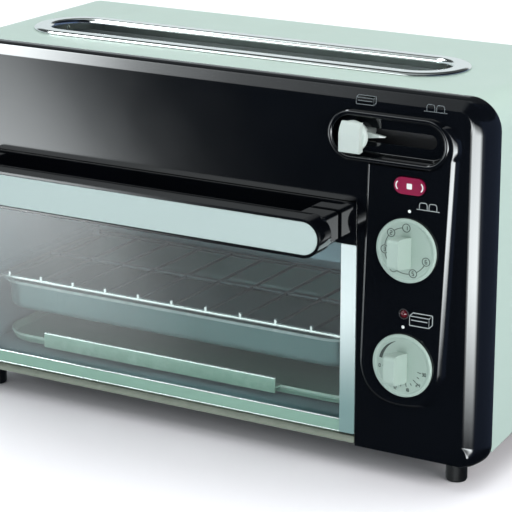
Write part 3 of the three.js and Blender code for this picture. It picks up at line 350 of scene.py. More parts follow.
def slab(name, loops, axis, low, high):
    """An outline with holes in it, drawn across an axis and thickened from low to high."""
    place = AXES[axis]
    flat = [point for loop in loops for point in loop]
    count = len(flat)
    points = [place(a, b, level) for level in (low, high) for a, b in flat]
    triangles = tessellate_polygon([[Vector((a, b, 0)) for a, b in loop] for loop in loops])
    faces = [tuple(t) for t in triangles] + [tuple(i + count for i in reversed(t)) for t in triangles]
    start = 0
    for loop in loops:
        for k in range(len(loop)):
            i, j = start + k, start + (k + 1) % len(loop)
            faces.append((i, j, j + count, i + count))
        start += len(loop)
    return from_faces(name, points, faces)


def loft(name, rings, capped):
    """A skin through rings of equal count; capped ends, or the last ring joins the first."""
    count = len(rings[0])
    points = [point for ring in rings for point in ring]
    faces = []
    for r in range(len(rings) - 1 if capped else len(rings)):
        near, far = r * count, (r + 1) % len(rings) * count
        faces += [(near + i, near + (i + 1) % count, far + (i + 1) % count, far + i) for i in range(count)]
    if capped:
        faces += [tuple(range(count)), tuple(range((len(rings) - 1) * count, len(rings) * count))]
    return from_faces(name, points, faces)


AXIS_RADIUS = 0.01   # a lathed shape's ends are drawn this near to its axis


def turned(profile, steps, place):
    """Rings of a (radius, level) profile, each point put into the frame by place."""
    turns = [2 * math.pi * k / steps for k in range(steps)]
    widths = [(max(r, AXIS_RADIUS), level) for r, level in profile]
    return [[place(r * math.cos(a), r * math.sin(a), level) for a in turns] for r, level in widths]


def lathe(name, profile, x, z, steps=64):
    """A profile of (radius, y) turned round an axis along Y; it starts and ends on the axis."""
    return loft(name, turned(profile, steps, lambda a, b, y: (x + a, y, z + b)), True)


def upright_lathe(name, profile, x, y, steps=48):
    """A profile of (radius, z) turned round an upright axis; it starts and ends on the axis."""
    return loft(name, turned(profile, steps, lambda a, b, z: (x + a, y + b, z)), True)


def wire(name, path, radius, sides=10):
    """A round rod along straight or bent path points."""
    rings = []
    for k, point in enumerate(path):
        before, after = Vector(path[max(k - 1, 0)]), Vector(path[min(k + 1, len(path) - 1)])
        turn = (after - before).to_track_quat("Z", "Y")
        rings.append([tuple(Vector(point) + turn @ Vector((radius * math.cos(a), radius * math.sin(a), 0)))
                      for a in (2 * math.pi * s / sides for s in range(sides))])
    return loft(name, rings, True)


def applied(piece):
    """Turns the piece's modifiers into its mesh."""
    graph = bpy.context.evaluated_depsgraph_get()
    mesh = bpy.data.meshes.new_from_object(piece.evaluated_get(graph))
    piece.modifiers.clear()
    piece.data = mesh
    return mesh


def shade(mesh):
    """Smooth shading with crisp real edges."""
    mesh.shade_smooth()
    mesh.set_sharp_from_angle(angle=SMOOTH_ANGLE)


def baked(piece):
    shade(applied(piece))
    return piece


def settle(piece):
    """Gives large flat faces their own normals, so that a rounded edge doesn't shade them."""
    weighted = piece.modifiers.new("weighted", "WEIGHTED_NORMAL")
    weighted.keep_sharp = True
    weighted.weight = 90
    applied(piece)


def rounded(piece, width, segments=3, angle=30):
    """Rounds the piece's sharp edges by width millimetres."""
    bevel = piece.modifiers.new("round", "BEVEL")
    bevel.width = width * MM
    bevel.segments = segments
    bevel.limit_method = "ANGLE"
    bevel.angle_limit = math.radians(angle)
    bevel.use_clamp_overlap = True
    return baked(piece)


def cut(piece, *cutters):
    """Takes the cutters' shapes out of the piece."""
    for cutter in cutters:
        boolean = piece.modifiers.new("cut", "BOOLEAN")
        boolean.operation = "DIFFERENCE"
        boolean.solver = "EXACT"
        boolean.object = cutter
    baked(piece)
    for cutter in cutters:
        bpy.data.objects.remove(cutter)
    return piece


def joined(name, *pieces):
    """One piece that holds several closed shapes."""
    solid = bmesh.new()
    for piece in pieces:
        solid.from_mesh(piece.data)
        bpy.data.objects.remove(piece)
    mesh = bpy.data.meshes.new(name)
    solid.to_mesh(mesh)
    solid.free()
    shade(mesh)
    return new_object(name, mesh)


def block(name, x0, x1, y0, y1, z0, z1):
    return slab(name, [[(x0, y0), (x1, y0), (x1, y1), (x0, y1)]], "z", z0, z1)


def fit(piece, body, slot, nodes=(), look=None):
    """Gives a piece its body and the material of its look or slot, and hides the CAD nodes that it stands
    for.
    """
    settle(piece)
    piece.data.materials.clear()
    piece.data.materials.append(materials[look or slot])
    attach(piece, body)
    if nodes:
        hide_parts(*nodes)


# ---- casing and back

CASE = node_box("outer_casing")
CASE_FILLET = 20.0
CASE_SHEET = 1.5
EDGE_RISE = 4.5          # the side's lower edge rises this much
EDGE_RISE_LENGTH = 47.7  # over this length back from the front


def make_casing():
    _, x1, front, rear, low, top = CASE
    stations = [front + s for s in (0, 0.8, 2.4)] + [front + EDGE_RISE_LENGTH * k / 8 for k in range(1, 9)]
    stations += [20, 45, 70, rear - 6, rear - 2.4, rear - 0.8, rear]
    rings = []
    for y in stations:
        edge = low + EDGE_RISE * min(1.0, (y - front) / EDGE_RISE_LENGTH)
        ring = []
        for inset in (0.0, CASE_SHEET):
            radius = CASE_FILLET - inset
            side, height = x1 - inset, top - inset
            path = [(side, edge), (side, edge + 2), (side, 120)]
            path += arc(side - radius, height - radius, radius, 0, 90, 20)
            path += [(x1 * k / 6 - radius * 0.2 * k / 6, height) for k in range(5, -6, -1)]
            path += arc(-side + radius, height - radius, radius, 90, 180, 20)
            path += [(-side, 120), (-side, edge + 2), (-side, edge)]
            ring += [(x, y, z) for x, z in (path if inset == 0 else path[::-1])]
        rings.append(ring)
    shell = loft("casing_shell", rings, True)
    rounded(shell, 0.5, 3, 50)
    slot = node_box("slot_trim")
    hole = slab("slot_hole", [obround((slot[0] + slot[1]) / 2, (slot[2] + slot[3]) / 2,
                                      (slot[1] - slot[0]) / 2 - 9, (slot[3] - slot[2]) / 2 - 9)],
                "z", top - 6, top + 6)
    fit(cut(shell, hole), "housing", "casing_paint", ["outer_casing"])


def make_back():
    x0, x1, front, rear, low, top = node_box("back_panel")
    face = front + CASE_SHEET
    corner = CASE_FILLET - CASE_SHEET - GAP
    outline = arc(x1 - corner, top - corner, corner, 0, 90, 16)
    outline += arc(x0 + corner, top - corner, corner, 90, 180, 16)
    outline += arc(x0 + 3, low + 3, 3, 180, 270, 6) + arc(x1 - 3, low + 3, 3, 270, 360, 6)
    vents = [obround(x, z, 24, 2.4, 8) for z in (72, 88, 104, 120, 198, 214) for x in (-123, -65, -7, 51)]
    inlet = node_box("cord_inlet")
    inlet_x, inlet_z = centre("cord_inlet")
    cover = slab("rear_cover", [outline, *vents, circle(inlet_x, inlet_z, 8.4)], "y", front, face)
    panel = rounded(cover, 0.35, 2)
    ribs = [rounded(slab("rib", [obround(-36, z, 106, 3.2)], "y", face - 0.4, face + 1.1), 0.9, 3)
            for z in (141, 160, 179)]
    spacers = []
    for x in (-150, 150):
        profile = [(0, rear), (5.6, rear), (6.6, rear - 0.4), (7, rear - 1.2),
                   (7.6, face + 0.4), (9, face), (9, face - 0.8), (0, face - 0.8)]
        spacers.append(baked(lathe("spacer", profile, x, 178)))
    fit(joined("rear_cover", panel, *ribs, *spacers), "housing", "casing_paint", ["back_panel"])
    outer = inlet[3]
    profile = [(0, outer - 3), (3.4, outer - 3), (4.2, outer - 0.6), (5.2, outer), (7.0, outer - 0.3),
               (8.2, outer - 1.1), (11, outer - 1.4), (11, face + GAP), (8.2, face + GAP), (8.2, inlet[2]),
               (0, inlet[2])]
    fit(baked(lathe("inlet_bush", profile, inlet_x, inlet_z)), "housing", "matt_black", ["cord_inlet"])
    for number in range(1, 5):
        make_back_screw(number)


def make_back_screw(number):
    node = f"back_screw_{number}"
    _, _, front, rear, _, _ = node_box(node)
    x, z = centre(node)
    seat = rear - 1.8
    profile = [(0, rear), (1.6, rear - 0.05), (3.0, rear - 0.5), (3.8, rear - 1.3), (3.8, seat), (1.7, seat),
               (1.7, front + 1), (0.8, front), (0, front)]
    head = lathe(node + "_head", profile, x, z, 32)
    across = block("across", x - 2.2, x + 2.2, rear - 1.1, rear + 1, z - 0.45, z + 0.45)
    upright = block("upright", x - 0.45, x + 0.45, rear - 1.12, rear + 1.02, z - 2.2, z + 2.2)
    fit(cut(cut(head, across), upright), "housing", "plain_steel", [node])


def make_feet():
    for end in ("front", "rear"):
        for side in ("left", "right"):
            node = f"foot_{end}_{side}"
            x0, x1, y0, y1, _, top = node_box(node)
            radius = (x1 - x0) / 2
            body = top - 0.6
            profile = [(0, 0), (radius - 1.6, 0), (radius - 0.5, 0.4), (radius, 1.4), (radius, body - 2.2),
                       (radius - 0.4, body - 1.9), (radius - 0.4, body - 1.5), (radius, body - 1.2),
                       (radius, body), (3, body), (3, top), (0, top)]
            fit(baked(upright_lathe(node + "_pad", profile, (x0 + x1) / 2, (y0 + y1) / 2)), "housing",
                "foot_rubber", [node])


# ---- bezel

BEZEL = node_box("front_bezel")
DOOR = node_box("door_top_frame")
DOOR_RAIL = node_box("door_bottom_rail")
BEZEL_ROUND = 14.5
BEZEL_LOW_FILLET = 15.0
FACET = ((0.0, 0.0), (0.12, 0.1), (0.25, 0.28), (0.42, 0.62), (0.53, 0.92), (0.58, 1.15), (0.62, 1.55),
         (0.96, 6.05), (0.985, 6.42), (1.0, 6.7))   # how far forward, and how far below the top
RECESS = node_box("selector_recess")
PANEL = node_box("control_panel")
FACE = BEZEL[2]


def facet_inset(forward):
    for (a, low), (b, high) in zip(FACET, FACET[1:]):
        if forward <= b:
            return low + (high - low) * (forward - a) / (b - a)
    return FACET[-1][1]


def bezel_ring(forward):
    x0, x1, front, rear, low, top = BEZEL
    side_inset = BEZEL_ROUND * (1 - math.sqrt(max(0.0, 1 - forward ** 2)))
    top_inset = facet_inset(forward)
    corners = [(x1 - CASE_FILLET, top - CASE_FILLET, CASE_FILLET, 0, top_inset),
               (x0 + CASE_FILLET, top - CASE_FILLET, CASE_FILLET, 90, top_inset),
               (x0 + BEZEL_LOW_FILLET, low + BEZEL_LOW_FILLET, BEZEL_LOW_FILLET, 180, top_inset * 0.335),
               (x1 - BEZEL_LOW_FILLET, low + BEZEL_LOW_FILLET, BEZEL_LOW_FILLET, 270, top_inset * 0.335)]
    ring = []
    for x, z, radius, start, edge_inset in corners:
        for k in range(25):
            a = math.radians(start + 90 * k / 24)
            inset = side_inset * math.cos(a) ** 2 + edge_inset * math.sin(a) ** 2
            ring.append((x + (radius - inset) * math.cos(a), rear - (rear - front) * forward,
                         z + (radius - inset) * math.sin(a)))
    return ring


def make_bezel():
    levels = sorted({math.sin(math.radians(a)) for a in range(0, 91, 5)} | {f for f, _ in FACET})
    bezel = loft("bezel_shell", [bezel_ring(f) for f in levels], True)
    rear = BEZEL[3]
    door_left, door_right, _, _, _, door_top = DOOR
    opening = [(door_left - 0.6, DOOR_RAIL[4] - 0.6), (door_right + 0.6, DOOR_RAIL[4] - 0.6),
               (door_right + 0.6, door_top + 0.7), (door_left - 0.6, door_top + 0.7)]
    sill = block("sill_cut", door_left - 0.6, door_right + 0.6, FACE - 5, rear - 4, 10, DOOR_RAIL[4])
    cut(bezel, slab("door_opening", [opening], "y", FACE - 5, rear + 5),
        slab("recess_hole", [box_obround(RECESS, -1)], "y", FACE - 5, rear + 5), sill,
        block("column_hollow", door_right + 6, 188, FACE + 3, rear + 5, 30, 205),
        block("column_slot", 133, 164, FACE - 5, rear + 5, 62, 195.5))
    rounded(bezel, 0.55, 3, 60)
    fit(bezel, "housing", "gloss_black", ["front_bezel"])


def tongue_outline(grow, right_grow=None):
    """The raised panel's outline; it narrows and leans towards the door as it goes down."""
    right_grow = grow if right_grow is None else right_grow
    left_top, left_low = 122.5 - grow, 118.5 - grow
    right_top, right_low = 177.5 + right_grow, 172 + right_grow
    end = 50 - grow
    points = [(left_top, 214), (left_low, 76)]
    curve(points, (left_low, 60), (left_low + 10, end), (left_low + 24, end))
    points += [(right_low - 22, end)]
    curve(points, (right_low - 8, end), (right_low - 0.5, 60), (right_low, 74))
    points += [(right_top, 206)]
    curve(points, (right_top + 2.2, 214), (right_top + 2.2, 222), (right_top - 6, 226))
    points += [(160, 226), (160, 214)]
    return points


PANEL_ROLL = 5.5        # radius of the broad roll on the panel's right edge
PANEL_EDGE = 1.7        # radius of the tight roll on its left edge


def panel_rings(front, back):
    """Outlines from the panel's rolled front edge to its back."""
    depth = back - front
    steep = math.acos(1 - depth / PANEL_ROLL)
    rings = []
    for k in range(9):
        turn = steep * k / 8
        drop = PANEL_ROLL * (1 - math.cos(turn))
        wide = PANEL_ROLL * (math.sin(steep) - math.sin(turn))
        rise = max(0.0, PANEL_EDGE - drop)
        tight = PANEL_EDGE - math.sqrt(max(0.0, PANEL_EDGE ** 2 - rise ** 2))
        rings.append([(x, front + drop, z) for x, z in tongue_outline(0.4 - tight, 3.0 - wide)])
    return rings


def make_tongue():
    front = PANEL[2]
    back = FACE - 0.1
    holes = [box_obround(RECESS, GAP), box_obround(node_box("stop_button"), 0.6)]
    holes += [circle(*centre(node), radius, 32)
              for node, radius in (("pilot_lens", 3.1), ("browning_knob", 5), ("timer_knob", 5))]
    plate = loft("plate", panel_rings(front, back), True)
    skirt = slab("skirt", [tongue_outline(3.2, 4.2)], "y", FACE - 0.9, back)
    rounded(skirt, 0.6, 4, 60)
    for piece in (plate, skirt):
        cut(piece, *[slab("clear", [hole], "y", front - 3, back + 3) for hole in holes])
    fit(joined("tongue_panel", plate, skirt), "housing", "gloss_black", ["control_panel"])


def make_recess():
    front, rear = RECESS[2:4]
    floor = front + 8.5
    profile = [(0, FACE - GAP), (0, front + 0.9), (-0.25, front + 0.35), (-0.8, front + 0.05), (-1.4, front),
               (-2.3, front), (-2.9, front + 0.2), (-3.35, front + 0.7), (-3.5, front + 1.5),
               (-3.6, front + 5), (-3.9, front + 7.2), (-4.6, front + 8.2), (-5.6, floor)]
    lines = [(box_obround(RECESS, grow, 24), y) for grow, y in profile]
    track = obround((TRACK[0] + TRACK[1]) / 2, SELECTOR_Z, (TRACK[1] - TRACK[0]) / 2, 4.4, 24)
    outer = box_obround(RECESS, -2, 24)
    lines += [(track, floor), (track, floor + 0.6), (track, rear), (outer, rear), (outer, FACE - GAP)]
    rings = [[(a, y, b) for a, b in line] for line, y in lines]
    fit(baked(loft("recess_cup", rings, False)), "housing", "gloss_black", ["selector_recess"])


# ---- controls

CAP_RADIUS = 9.6
DIAL_DEPTH = 1.15   # from a knob's back to its sunk face
DIAL_PLATE = 0.08    # how far the sunk face's own piece stands off it
SELECTOR_X = node_box("selector_knob")[0] + CAP_RADIUS
SELECTOR_Z = centre("selector_knob")[1]
TRACK = (SELECTOR_X - 5.4, RECESS[1] - 11.9)
DISC_SEAT = -62.5


def make_knob(node, body):
    x, z = centre(node)
    x0, x1, front, back, _, _ = node_box(node)
    radius = (x1 - x0) / 2
    rim = ((0.6, 0), (0.1, 0.25), (0, 0.7), (0.1, 1.2), (0.45, 1.55), (0.9, 1.7), (1.7, 1.7), (2.1, 1.6),
           (2.45, 1.3), (3.0, DIAL_DEPTH))
    profile = [(0, back), *[(radius - inset, back - rise) for inset, rise in rim], (0, back - DIAL_DEPTH)]
    disc = baked(lathe("disc", profile, x, z, 96))
    root = back - 0.9
    side = [(root, z - 10.3), (root, z + 8.4)]
    curve(side, (front + 5, z + 11.3), (front, z + 12.2), (front, z + 8.2), 14)
    side += [(front, z - 4.0)]
    curve(side, (front, z - 6.6), (front + 1, z - 7.1), (front + 3, z - 7.5), 8)
    grip = rounded(slab("grip", [side], "x", x - 3.6, x + 3.6), 0.7, 4, 25)
    fit(joined(node + "_shell", disc, grip), body, "sage_plastic", [node])
    face = back - DIAL_DEPTH - DIAL_PLATE
    # The sunk face gets the darker copy of the knob's plastic: painted shade.
    plate = slab(node + "_plate", [circle(x, z, radius - 3.1, 96)], "y", face, back - 1.0)
    fit(baked(plate), body, "sage_plastic", look="shaded_dial_face")


def digit_strokes(number):
    """Seven-bar figures as pen lines in a box one wide and two high."""
    bars = {"a": [(0, 2), (1, 2)], "b": [(1, 2), (1, 1)], "c": [(1, 1), (1, 0)], "d": [(0, 0), (1, 0)],
            "e": [(0, 1), (0, 0)], "f": [(0, 2), (0, 1)], "g": [(0, 1), (1, 1)]}
    lit = ["abcdef", "bc", "abged", "abgcd", "fgbc", "afgcd", "afgedc", "abc", "abcdefg", "abcdfg"][number]
    return [bars[bar] for bar in lit]


def dial_print(name, x, z, face, strokes, width, look, body, thickness=0.12):
    """Thin printed lines on a face that looks forwards; strokes are lists of (x, z) from the centre."""
    parts = []
    for k, line in enumerate(strokes):
        points = [(x + a, z + b) for a, b in line]
        parts.append(slab(f"{name}_{k}", [stroke(points, width)], "y", face - thickness, face + 0.1))
    slot = "sage_plastic" if body in ("browning", "timer") else "gloss_black"
    fit(joined(name, *parts), body, slot, look=look)


def numeral(text, x, z, height):
    """Pen lines for a number centred on a place."""
    unit = width = height / 2
    step = width * 1.6
    lines = []
    for k, figure in enumerate(text):
        left = x + (k - (len(text) - 1) / 2) * step - width / 2
        for bar in digit_strokes(int(figure)):
            lines.append([(left + a * width, z - unit + b * unit) for a, b in bar])
    return lines


def on_dial(radius, angle):
    """A point from a dial's centre, at an angle in degrees."""
    return arc(0, 0, radius, angle, angle, 1)[0]


def make_dial_marks():
    x, z = centre("browning_knob")
    face = node_box("browning_knob")[3] - DIAL_DEPTH - DIAL_PLATE
    lines = []
    angles = (90, 135, 183, 235, 290, 340)
    for k, angle in enumerate(angles):
        a, b = on_dial(14.2, angle)
        lines.append(arc(a, b, 2.5, 0, 360, 20))
        lines += numeral(str(k + 1), a, b, 2.4)
    for angle, after in zip(angles, angles[1:]):
        lines.append(arc(0, 0, 14.2, angle + 11.5, after - 11.5, 8))
    dial_print("browning_scale", x, z, face, lines, 0.42, "print_dark", "browning")
    x, z = centre("timer_knob")
    lines = []
    for k in range(11):
        angle = 188 + 16 * k
        inner, outer = (11.6, 13.2) if k % 2 else (10.8, 13.2)
        lines.append([on_dial(r, angle) for r in (inner, outer)])
        if k % 2 == 0:
            a, b = on_dial(15.2, angle)
            lines += numeral(str(k * 3), a, b, 1.9)
    dial_print("timer_scale", x, z, face, lines, 0.36, "print_dark", "timer")
    wedge = arc(0, 0, 15.7, 106, 168, 24)
    wedge += [on_dial(13.6 + 1.9 * ((168 - a) / 62) ** 1.5, a) for a in range(168, 105, -3)]
    sweep = slab("timer_sweep", [[(x + a, z + b) for a, b in wedge]], "y", face - 0.12, face + 0.1)
    fit(sweep, "timer", "sage_plastic", look="print_dark")


def make_selector():
    _, _, front, back, _, _ = node_box("selector_knob")
    x, z = SELECTOR_X, SELECTOR_Z
    cap_front, cap_rear = front + 4.3, front + 7.3
    edge = ((0.8, cap_rear), (0.1, cap_rear - 0.5), (0, cap_rear - 1.1), (0.2, cap_front + 1.1),
            (0.9, cap_front + 0.3), (2.0, cap_front))
    profile = [(0, cap_rear), *[(CAP_RADIUS - inset, y) for inset, y in edge], (0, cap_front)]
    cap = baked(lathe("cap", profile, x, z, 80))
    neck = baked(lathe("neck", [(0, DISC_SEAT), (6.2, DISC_SEAT), (5.5, DISC_SEAT - 1), (5.5, cap_rear - 1),
                                (0, cap_rear - 1)], x, z, 48))
    side = [(cap_front + 1, z - 9.0), (front + 1.2, z - 9.4)]
    curve(side, (front + 0.3, z - 9.4), (front, z - 8.9), (front, z - 8.0), 6)
    side += [(front, z + 2.0)]
    curve(side, (front + 0.1, z + 4.2), (front + 2.6, z + 8.2), (cap_front, z + 9.0), 12)
    side += [(cap_front + 1, z + 9.0)]
    grip = rounded(slab("grip", [side], "x", x - 6.8, x + 6.8), 1.9, 5, 50)
    outline = [(x + 4, z - 2.4), (x + 11.5, z - 1.2), (x + 18.1, z - 0.35), (x + 18.1, z + 0.35),
               (x + 11.5, z + 1.2), (x + 4, z + 2.4)]
    pointer = slab("pointer", [outline], "y", DISC_SEAT - 2.0, DISC_SEAT)
    stem = slab("stem", [obround(x, z, 5, 4)], "y", DISC_SEAT - 1, back)
    shell = joined("selector_shell", cap, neck, grip, rounded(pointer, 0.3, 2), baked(stem))
    fit(shell, "selector", "sage_plastic", ["selector_knob"], look="slider_plastic")
    tip = slab("selector_tip", [[(x + 14.2, z - 0.7), (x + 18.0, z - 0.3), (x + 18.0, z + 0.3),
                                 (x + 14.2, z + 0.7)]], "y", DISC_SEAT - 2.15, DISC_SEAT - 1.9)
    fit(baked(tip), "selector", "sage_plastic", look="print_white")


def make_stop_button():
    box = node_box("stop_button")
    front, rear = box[2:4]
    x, z = centre("stop_button")
    cap = rounded(slab("cap", [box_obround(box, 0, 20)], "y", front, FACE + 2), 1.0, 5, 50)
    stem = baked(block("stem", x - 3, x + 3, FACE + 1.5, rear, z - 2.5, z + 2.5))
    fit(joined("stop_cap", cap, stem), "stop", "stop_red", ["stop_button"])
    outlines = [round_rect(x - 1.7, x + 1.7, z - 1.7, z + 1.7, 0.5, 4)]
    outlines += [stroke(arc(x + shift, z, 3.0, start - 52, start + 52, 14), 0.7)
                 for shift, start in ((-5.8, 180), (5.8, 0))]
    marks = [slab("mark", [outline], "y", front - 0.1, front + 0.1) for outline in outlines]
    fit(joined("stop_mark", *marks), "stop", "stop_red", look="print_white")


def make_pilot():
    front, rear = node_box("pilot_lens")[2:4]
    x, z = centre("pilot_lens")
    dome = [(0, rear), (2.6, rear), (2.6, front + 1.5)]
    dome += [(2.6 * math.cos(a), front + 1.5 - 1.5 * math.sin(a))
             for a in (math.pi / 2 * k / 8 for k in range(1, 9))]
    fit(baked(lathe("pilot_dome", dome, x, z, 32)), "housing", "lens_red", ["pilot_lens"])
    face = PANEL[2]
    ring = [(2.75, face + 1), (2.75, face - 0.15), (3.0, face - 0.3), (3.3, face - 0.15), (3.4, face + 1)]
    rings = [[(x + r * math.cos(a), y, z + r * math.sin(a)) for a in (math.pi * k / 20 for k in range(40))]
             for r, y in ring]
    fit(baked(loft("pilot_ring", rings, False)), "housing", "silver_trim", look="matt_black")


def oven_pictogram(x, z, width, height):
    """A box seen a little from one side: a generic mark for the oven."""
    lean = height * 0.28
    left, right, low, high = x - width / 2, x + width / 2, z - height / 2, z + height / 2
    face_right, face_top = right - lean, high - lean
    front = [(left, low), (face_right, low), (face_right, face_top), (left, face_top), (left, low)]
    top = [(left, face_top), (left + lean, high), (right, high), (face_right, face_top)]
    side = [(right, high), (right, low + lean), (face_right, low)]
    shelf = [(left + 1, z - 0.6), (face_right - 1, z - 0.6)]
    return [front, top, side, shelf]


def toast_pictogram(x, z, width, height):
    """Two slices that stand out of a slot: a generic mark for toast."""
    w, h = width / 2, height / 2
    lines = [[(x - w, z - h), (x + w, z - h)]]
    for centre in (x - w * 0.42, x + w * 0.42):
        half = w * 0.34
        top = arc(centre, z + h - half * 0.7, half, 0, 180, 10)
        lines.append([(centre + half, z - h), *[(a, min(b, z + h)) for a, b in top], (centre - half, z - h)])
    return lines


def make_panel_print():
    """Generic marks beside the controls: ovens, toast and index dots."""
    browning, timer = centre("browning_knob"), centre("timer_knob")
    front = PANEL[2]
    sets = [("oven_mark_selector", oven_pictogram(118.8, 236.4, 13.2, 5.6), FACE, 0.42, "print_grey"),
            ("toast_mark_selector", toast_pictogram(164.3, 236.4, 15, 4.2), FACE, 0.38, "print_grey"),
            ("toast_mark_browning", toast_pictogram(browning[0] + 13.2, browning[1] + 28.4, 15, 4.2), front,
             0.45, "print_mark"),
            ("oven_mark_timer", oven_pictogram(timer[0] + 11.4, timer[1] + 30.2, 15.2, 8.2), front, 0.6,
             "print_mark")]
    for name, lines, face, width, look in sets:
        dial_print(name, 0, 0, face, lines, width, look, "housing")
    dots = [slab("dot", [circle(x, z, 1.0, 24)], "y", front - 0.12, front + 0.1)
            for x, z in ((browning[0] + 1.1, browning[1] + 24.2), (timer[0] - 0.5, timer[1] + 24.2))]
    fit(joined("index_dots", *dots), "housing", "gloss_black", look="print_white")


# ---- toast slot

def make_slot_trim():
    x0, x1, y0, y1, low, top = node_box("slot_trim")
    band = 12.0
    seat = CASE[5] + GAP
    profile = [(band, seat), (band, seat + 0.35), (band - 0.3, seat + 0.8), (band - 1.1, seat + 1.2),
               (band - 2.4, top - 0.15), (band - 3.6, top), (3.4, top), (2.1, top - 0.15), (1.1, top - 0.55),
               (0.4, top - 1.3), (0.05, top - 2.4), (0, top - 3.4), (0, low), (1.4, low), (1.4, seat)]
    x, y = (x0 + x1) / 2, (y0 + y1) / 2
    half, width = (x1 - x0) / 2 - band, (y1 - y0) / 2 - band
    rings = [[(a, b, z) for a, b in obround(x, y, half + grow, width + grow, 32)] for grow, z in profile]
    fit(baked(loft("slot_ring", rings, False)), "housing", "slot_chrome", ["slot_trim"])


# ---- oven inside

RACK_MIDDLE = -32.5
RACK_PITCH = 26.0
RACK_RODS = 11


def make_rack():
    x0, x1, front, rear, low, top = node_box("wire_rack")
    height = low + 1.5
    places = [RACK_MIDDLE + RACK_PITCH * (k - (RACK_RODS - 1) / 2) for k in range(RACK_RODS)]
    bars = [wire("bar", [(x0, y, height), (x1, y, height)], 1.5, 16)
            for y in (front + 1.5, (front + rear) / 2, rear - 1.5)]
    nubs = [upright_lathe("nub", [(0, height - 0.6), (1.15, height - 0.6), (1.15, top - 0.5), (0.7, top),
                                  (0, top)], x, front + 1.2, 12) for x in places]
    rods = [wire("rod", [(x, front + 1.6, height + 0.5), (x, front + 2.6, height + 0.3),
                         (x, rear - 1, height + 0.3)], 1.05, 10) for x in places]
    fit(joined("rack_front", bars[0], *nubs), "tray", "rack_wire", ["wire_rack"])
    # The rods and back bars take the dark copy of the wire: painted shade.
    fit(joined("rack_rods", *bars[1:], *rods), "tray", "rack_wire", look="shaded_rack_wire")


def pan(name, box, rim, front_rim, floor_round, sheet, corner):
    """A pressed pan in a box of (x0, x1, y0, y1, low, top): a rolled rim, drawn walls, a flat floor.

    The rim is rim wide at the sides and front_rim wide at the front and back.
    """
    x0, x1, y0, y1, low, top = box
    profile = [(0, top - 0.5), (0.3, top), (rim - 0.9, top), (rim, top - 0.5), (rim + 0.4, top - 2)]
    bends = [math.pi / 2 * k / 6 for k in range(7)]
    profile += [(rim + 1.0 + floor_round * (1 - math.cos(a)) * 0.6,
                 low + sheet + floor_round * (1 - math.sin(a))) for a in bends]
    outside = [(inset - (0.9 if inset > rim else 0), z - sheet) for inset, z in reversed(profile)]
    rings = []
    for inset, z in profile + outside:
        radius = max(corner - inset, 2.0)
        deep = max(inset * 0.05, inset - rim + front_rim)
        outline = round_rect(x0 + inset, x1 - inset, y0 + deep, y1 - deep, radius)
        rings.append([(x, y, max(z, low)) for x, y in outline])
    count = len(profile)
    points = [p for ring in rings for p in ring]
    size = len(rings[0])
    last = len(rings) - 1
    faces = []
    for a, b in [(k, k + 1) for k in range(last) if k != count - 1] + [(last, 0)]:
        faces += [(a * size + i, a * size + (i + 1) % size, b * size + (i + 1) % size, b * size + i)
                  for i in range(size)]
    faces += [tuple(ring * size + i for i in range(size)) for ring in (count - 1, count)]
    return baked(from_faces(name, points, faces))


def make_trays():
    tray = node_box("baking_tray")
    # The pressed tray takes the darkened tray metal: painted shade.
    fit(pan("pressed_tray", tray, 6.0, 2.5, 5.0, 1.2, 25.0), "tray", "tray_metal", ["baking_tray"])
    x0, x1, front, rear, low, top = node_box("crumb_tray")
    body_front = front + 7
    bottom = pan("crumbs", (x0, x1, body_front, rear, low, low + 6), 1.4, 1.4, 2.0, 1.0, 24.0)
    left, right = x0 + 44, x1 - 60
    section = [(front, low + 2.4), (front + 0.9, low + 2.2), (front + 0.9, low + 5),
               (body_front + 2, low + 5), (body_front + 2, low + 6), (front + 1.4, low + 6),
               (front + 1.0, low + 6.4),
               (front + 1.0, top - 1), (front, top - 1)]
    tab = slab("tab", [section], "x", left, right)
    fit(joined("crumb_pan", bottom, rounded(tab, 0.2, 2)), "crumbs", "tray_metal", ["crumb_tray"],
        look="tab_green")
    # The rolled lip of the crumb tray's own metal, in the bright wire look: a real roll with a painted
    # highlight.
    lip = wire("crumb_lip", [(left, front + 1.25, top - 1.25), (right, front + 1.25, top - 1.25)], 1.25, 16)
    fit(rounded(lip, 0.3, 2, 60), "crumbs", "tray_metal", look="rack_wire")


def make_elements():
    for node in (f"{kind}_element_{end}" for kind in ("grill", "base") for end in ("front", "rear")):
        x0, x1, y0, y1, z0, z1 = node_box(node)
        y, z = (y0 + y1) / 2, (z0 + z1) / 2
        tube = wire("tube", [(x0 + 12, y, z), (x1 - 12, y, z)], 3.3, 24)
        ends = [wire("end", [(a, y, z), (b, y, z)], 3.5, 24) for a, b in ((x0, x0 + 12), (x1 - 12, x1))]
        fit(joined(node + "_tube", baked(tube), *[rounded(end, 0.5, 3) for end in ends]), "housing",
            "element_tube", [node])


# ---- door

def make_door():
    x0, x1, front, rear, low, top = DOOR
    glass = node_box("door_glass")
    bar = block("top_frame", x0, x1, front, rear, low, top)
    pocket = block("pocket", x0 + 2, x1 - 2, glass[2] - GAP, rear + 1, low - 1, glass[5] + GAP)
    holes = [lathe("hole", [(0, front - 2), (2.3, front - 2), (2.3, rear + 2), (0, rear + 2)],
                   *centre(f"handle_screw_{side}"), 24) for side in ("left", "right")]
    fit(rounded(cut(bar, pocket, *holes), 0.6, 3, 60), "door", "gloss_black", ["door_top_frame"])
    pane = block("pane", *glass)
    fit(rounded(pane, 0.3, 2), "door", "door_glass", ["door_glass"])
    for side in ("left", "right"):
        node = f"door_strip_{side}"
        s = node_box(node)
        strip = slab(node + "_face", [round_rect(s[0], s[1], s[4], s[5], 0.8, 4)], "y", s[2], s[3])
        fit(rounded(strip, 0.5, 4, 50), "door", "silver_trim", [node])
    make_bottom_rail(glass)
    make_handle()


SILL_LIP_TOP = 31.8


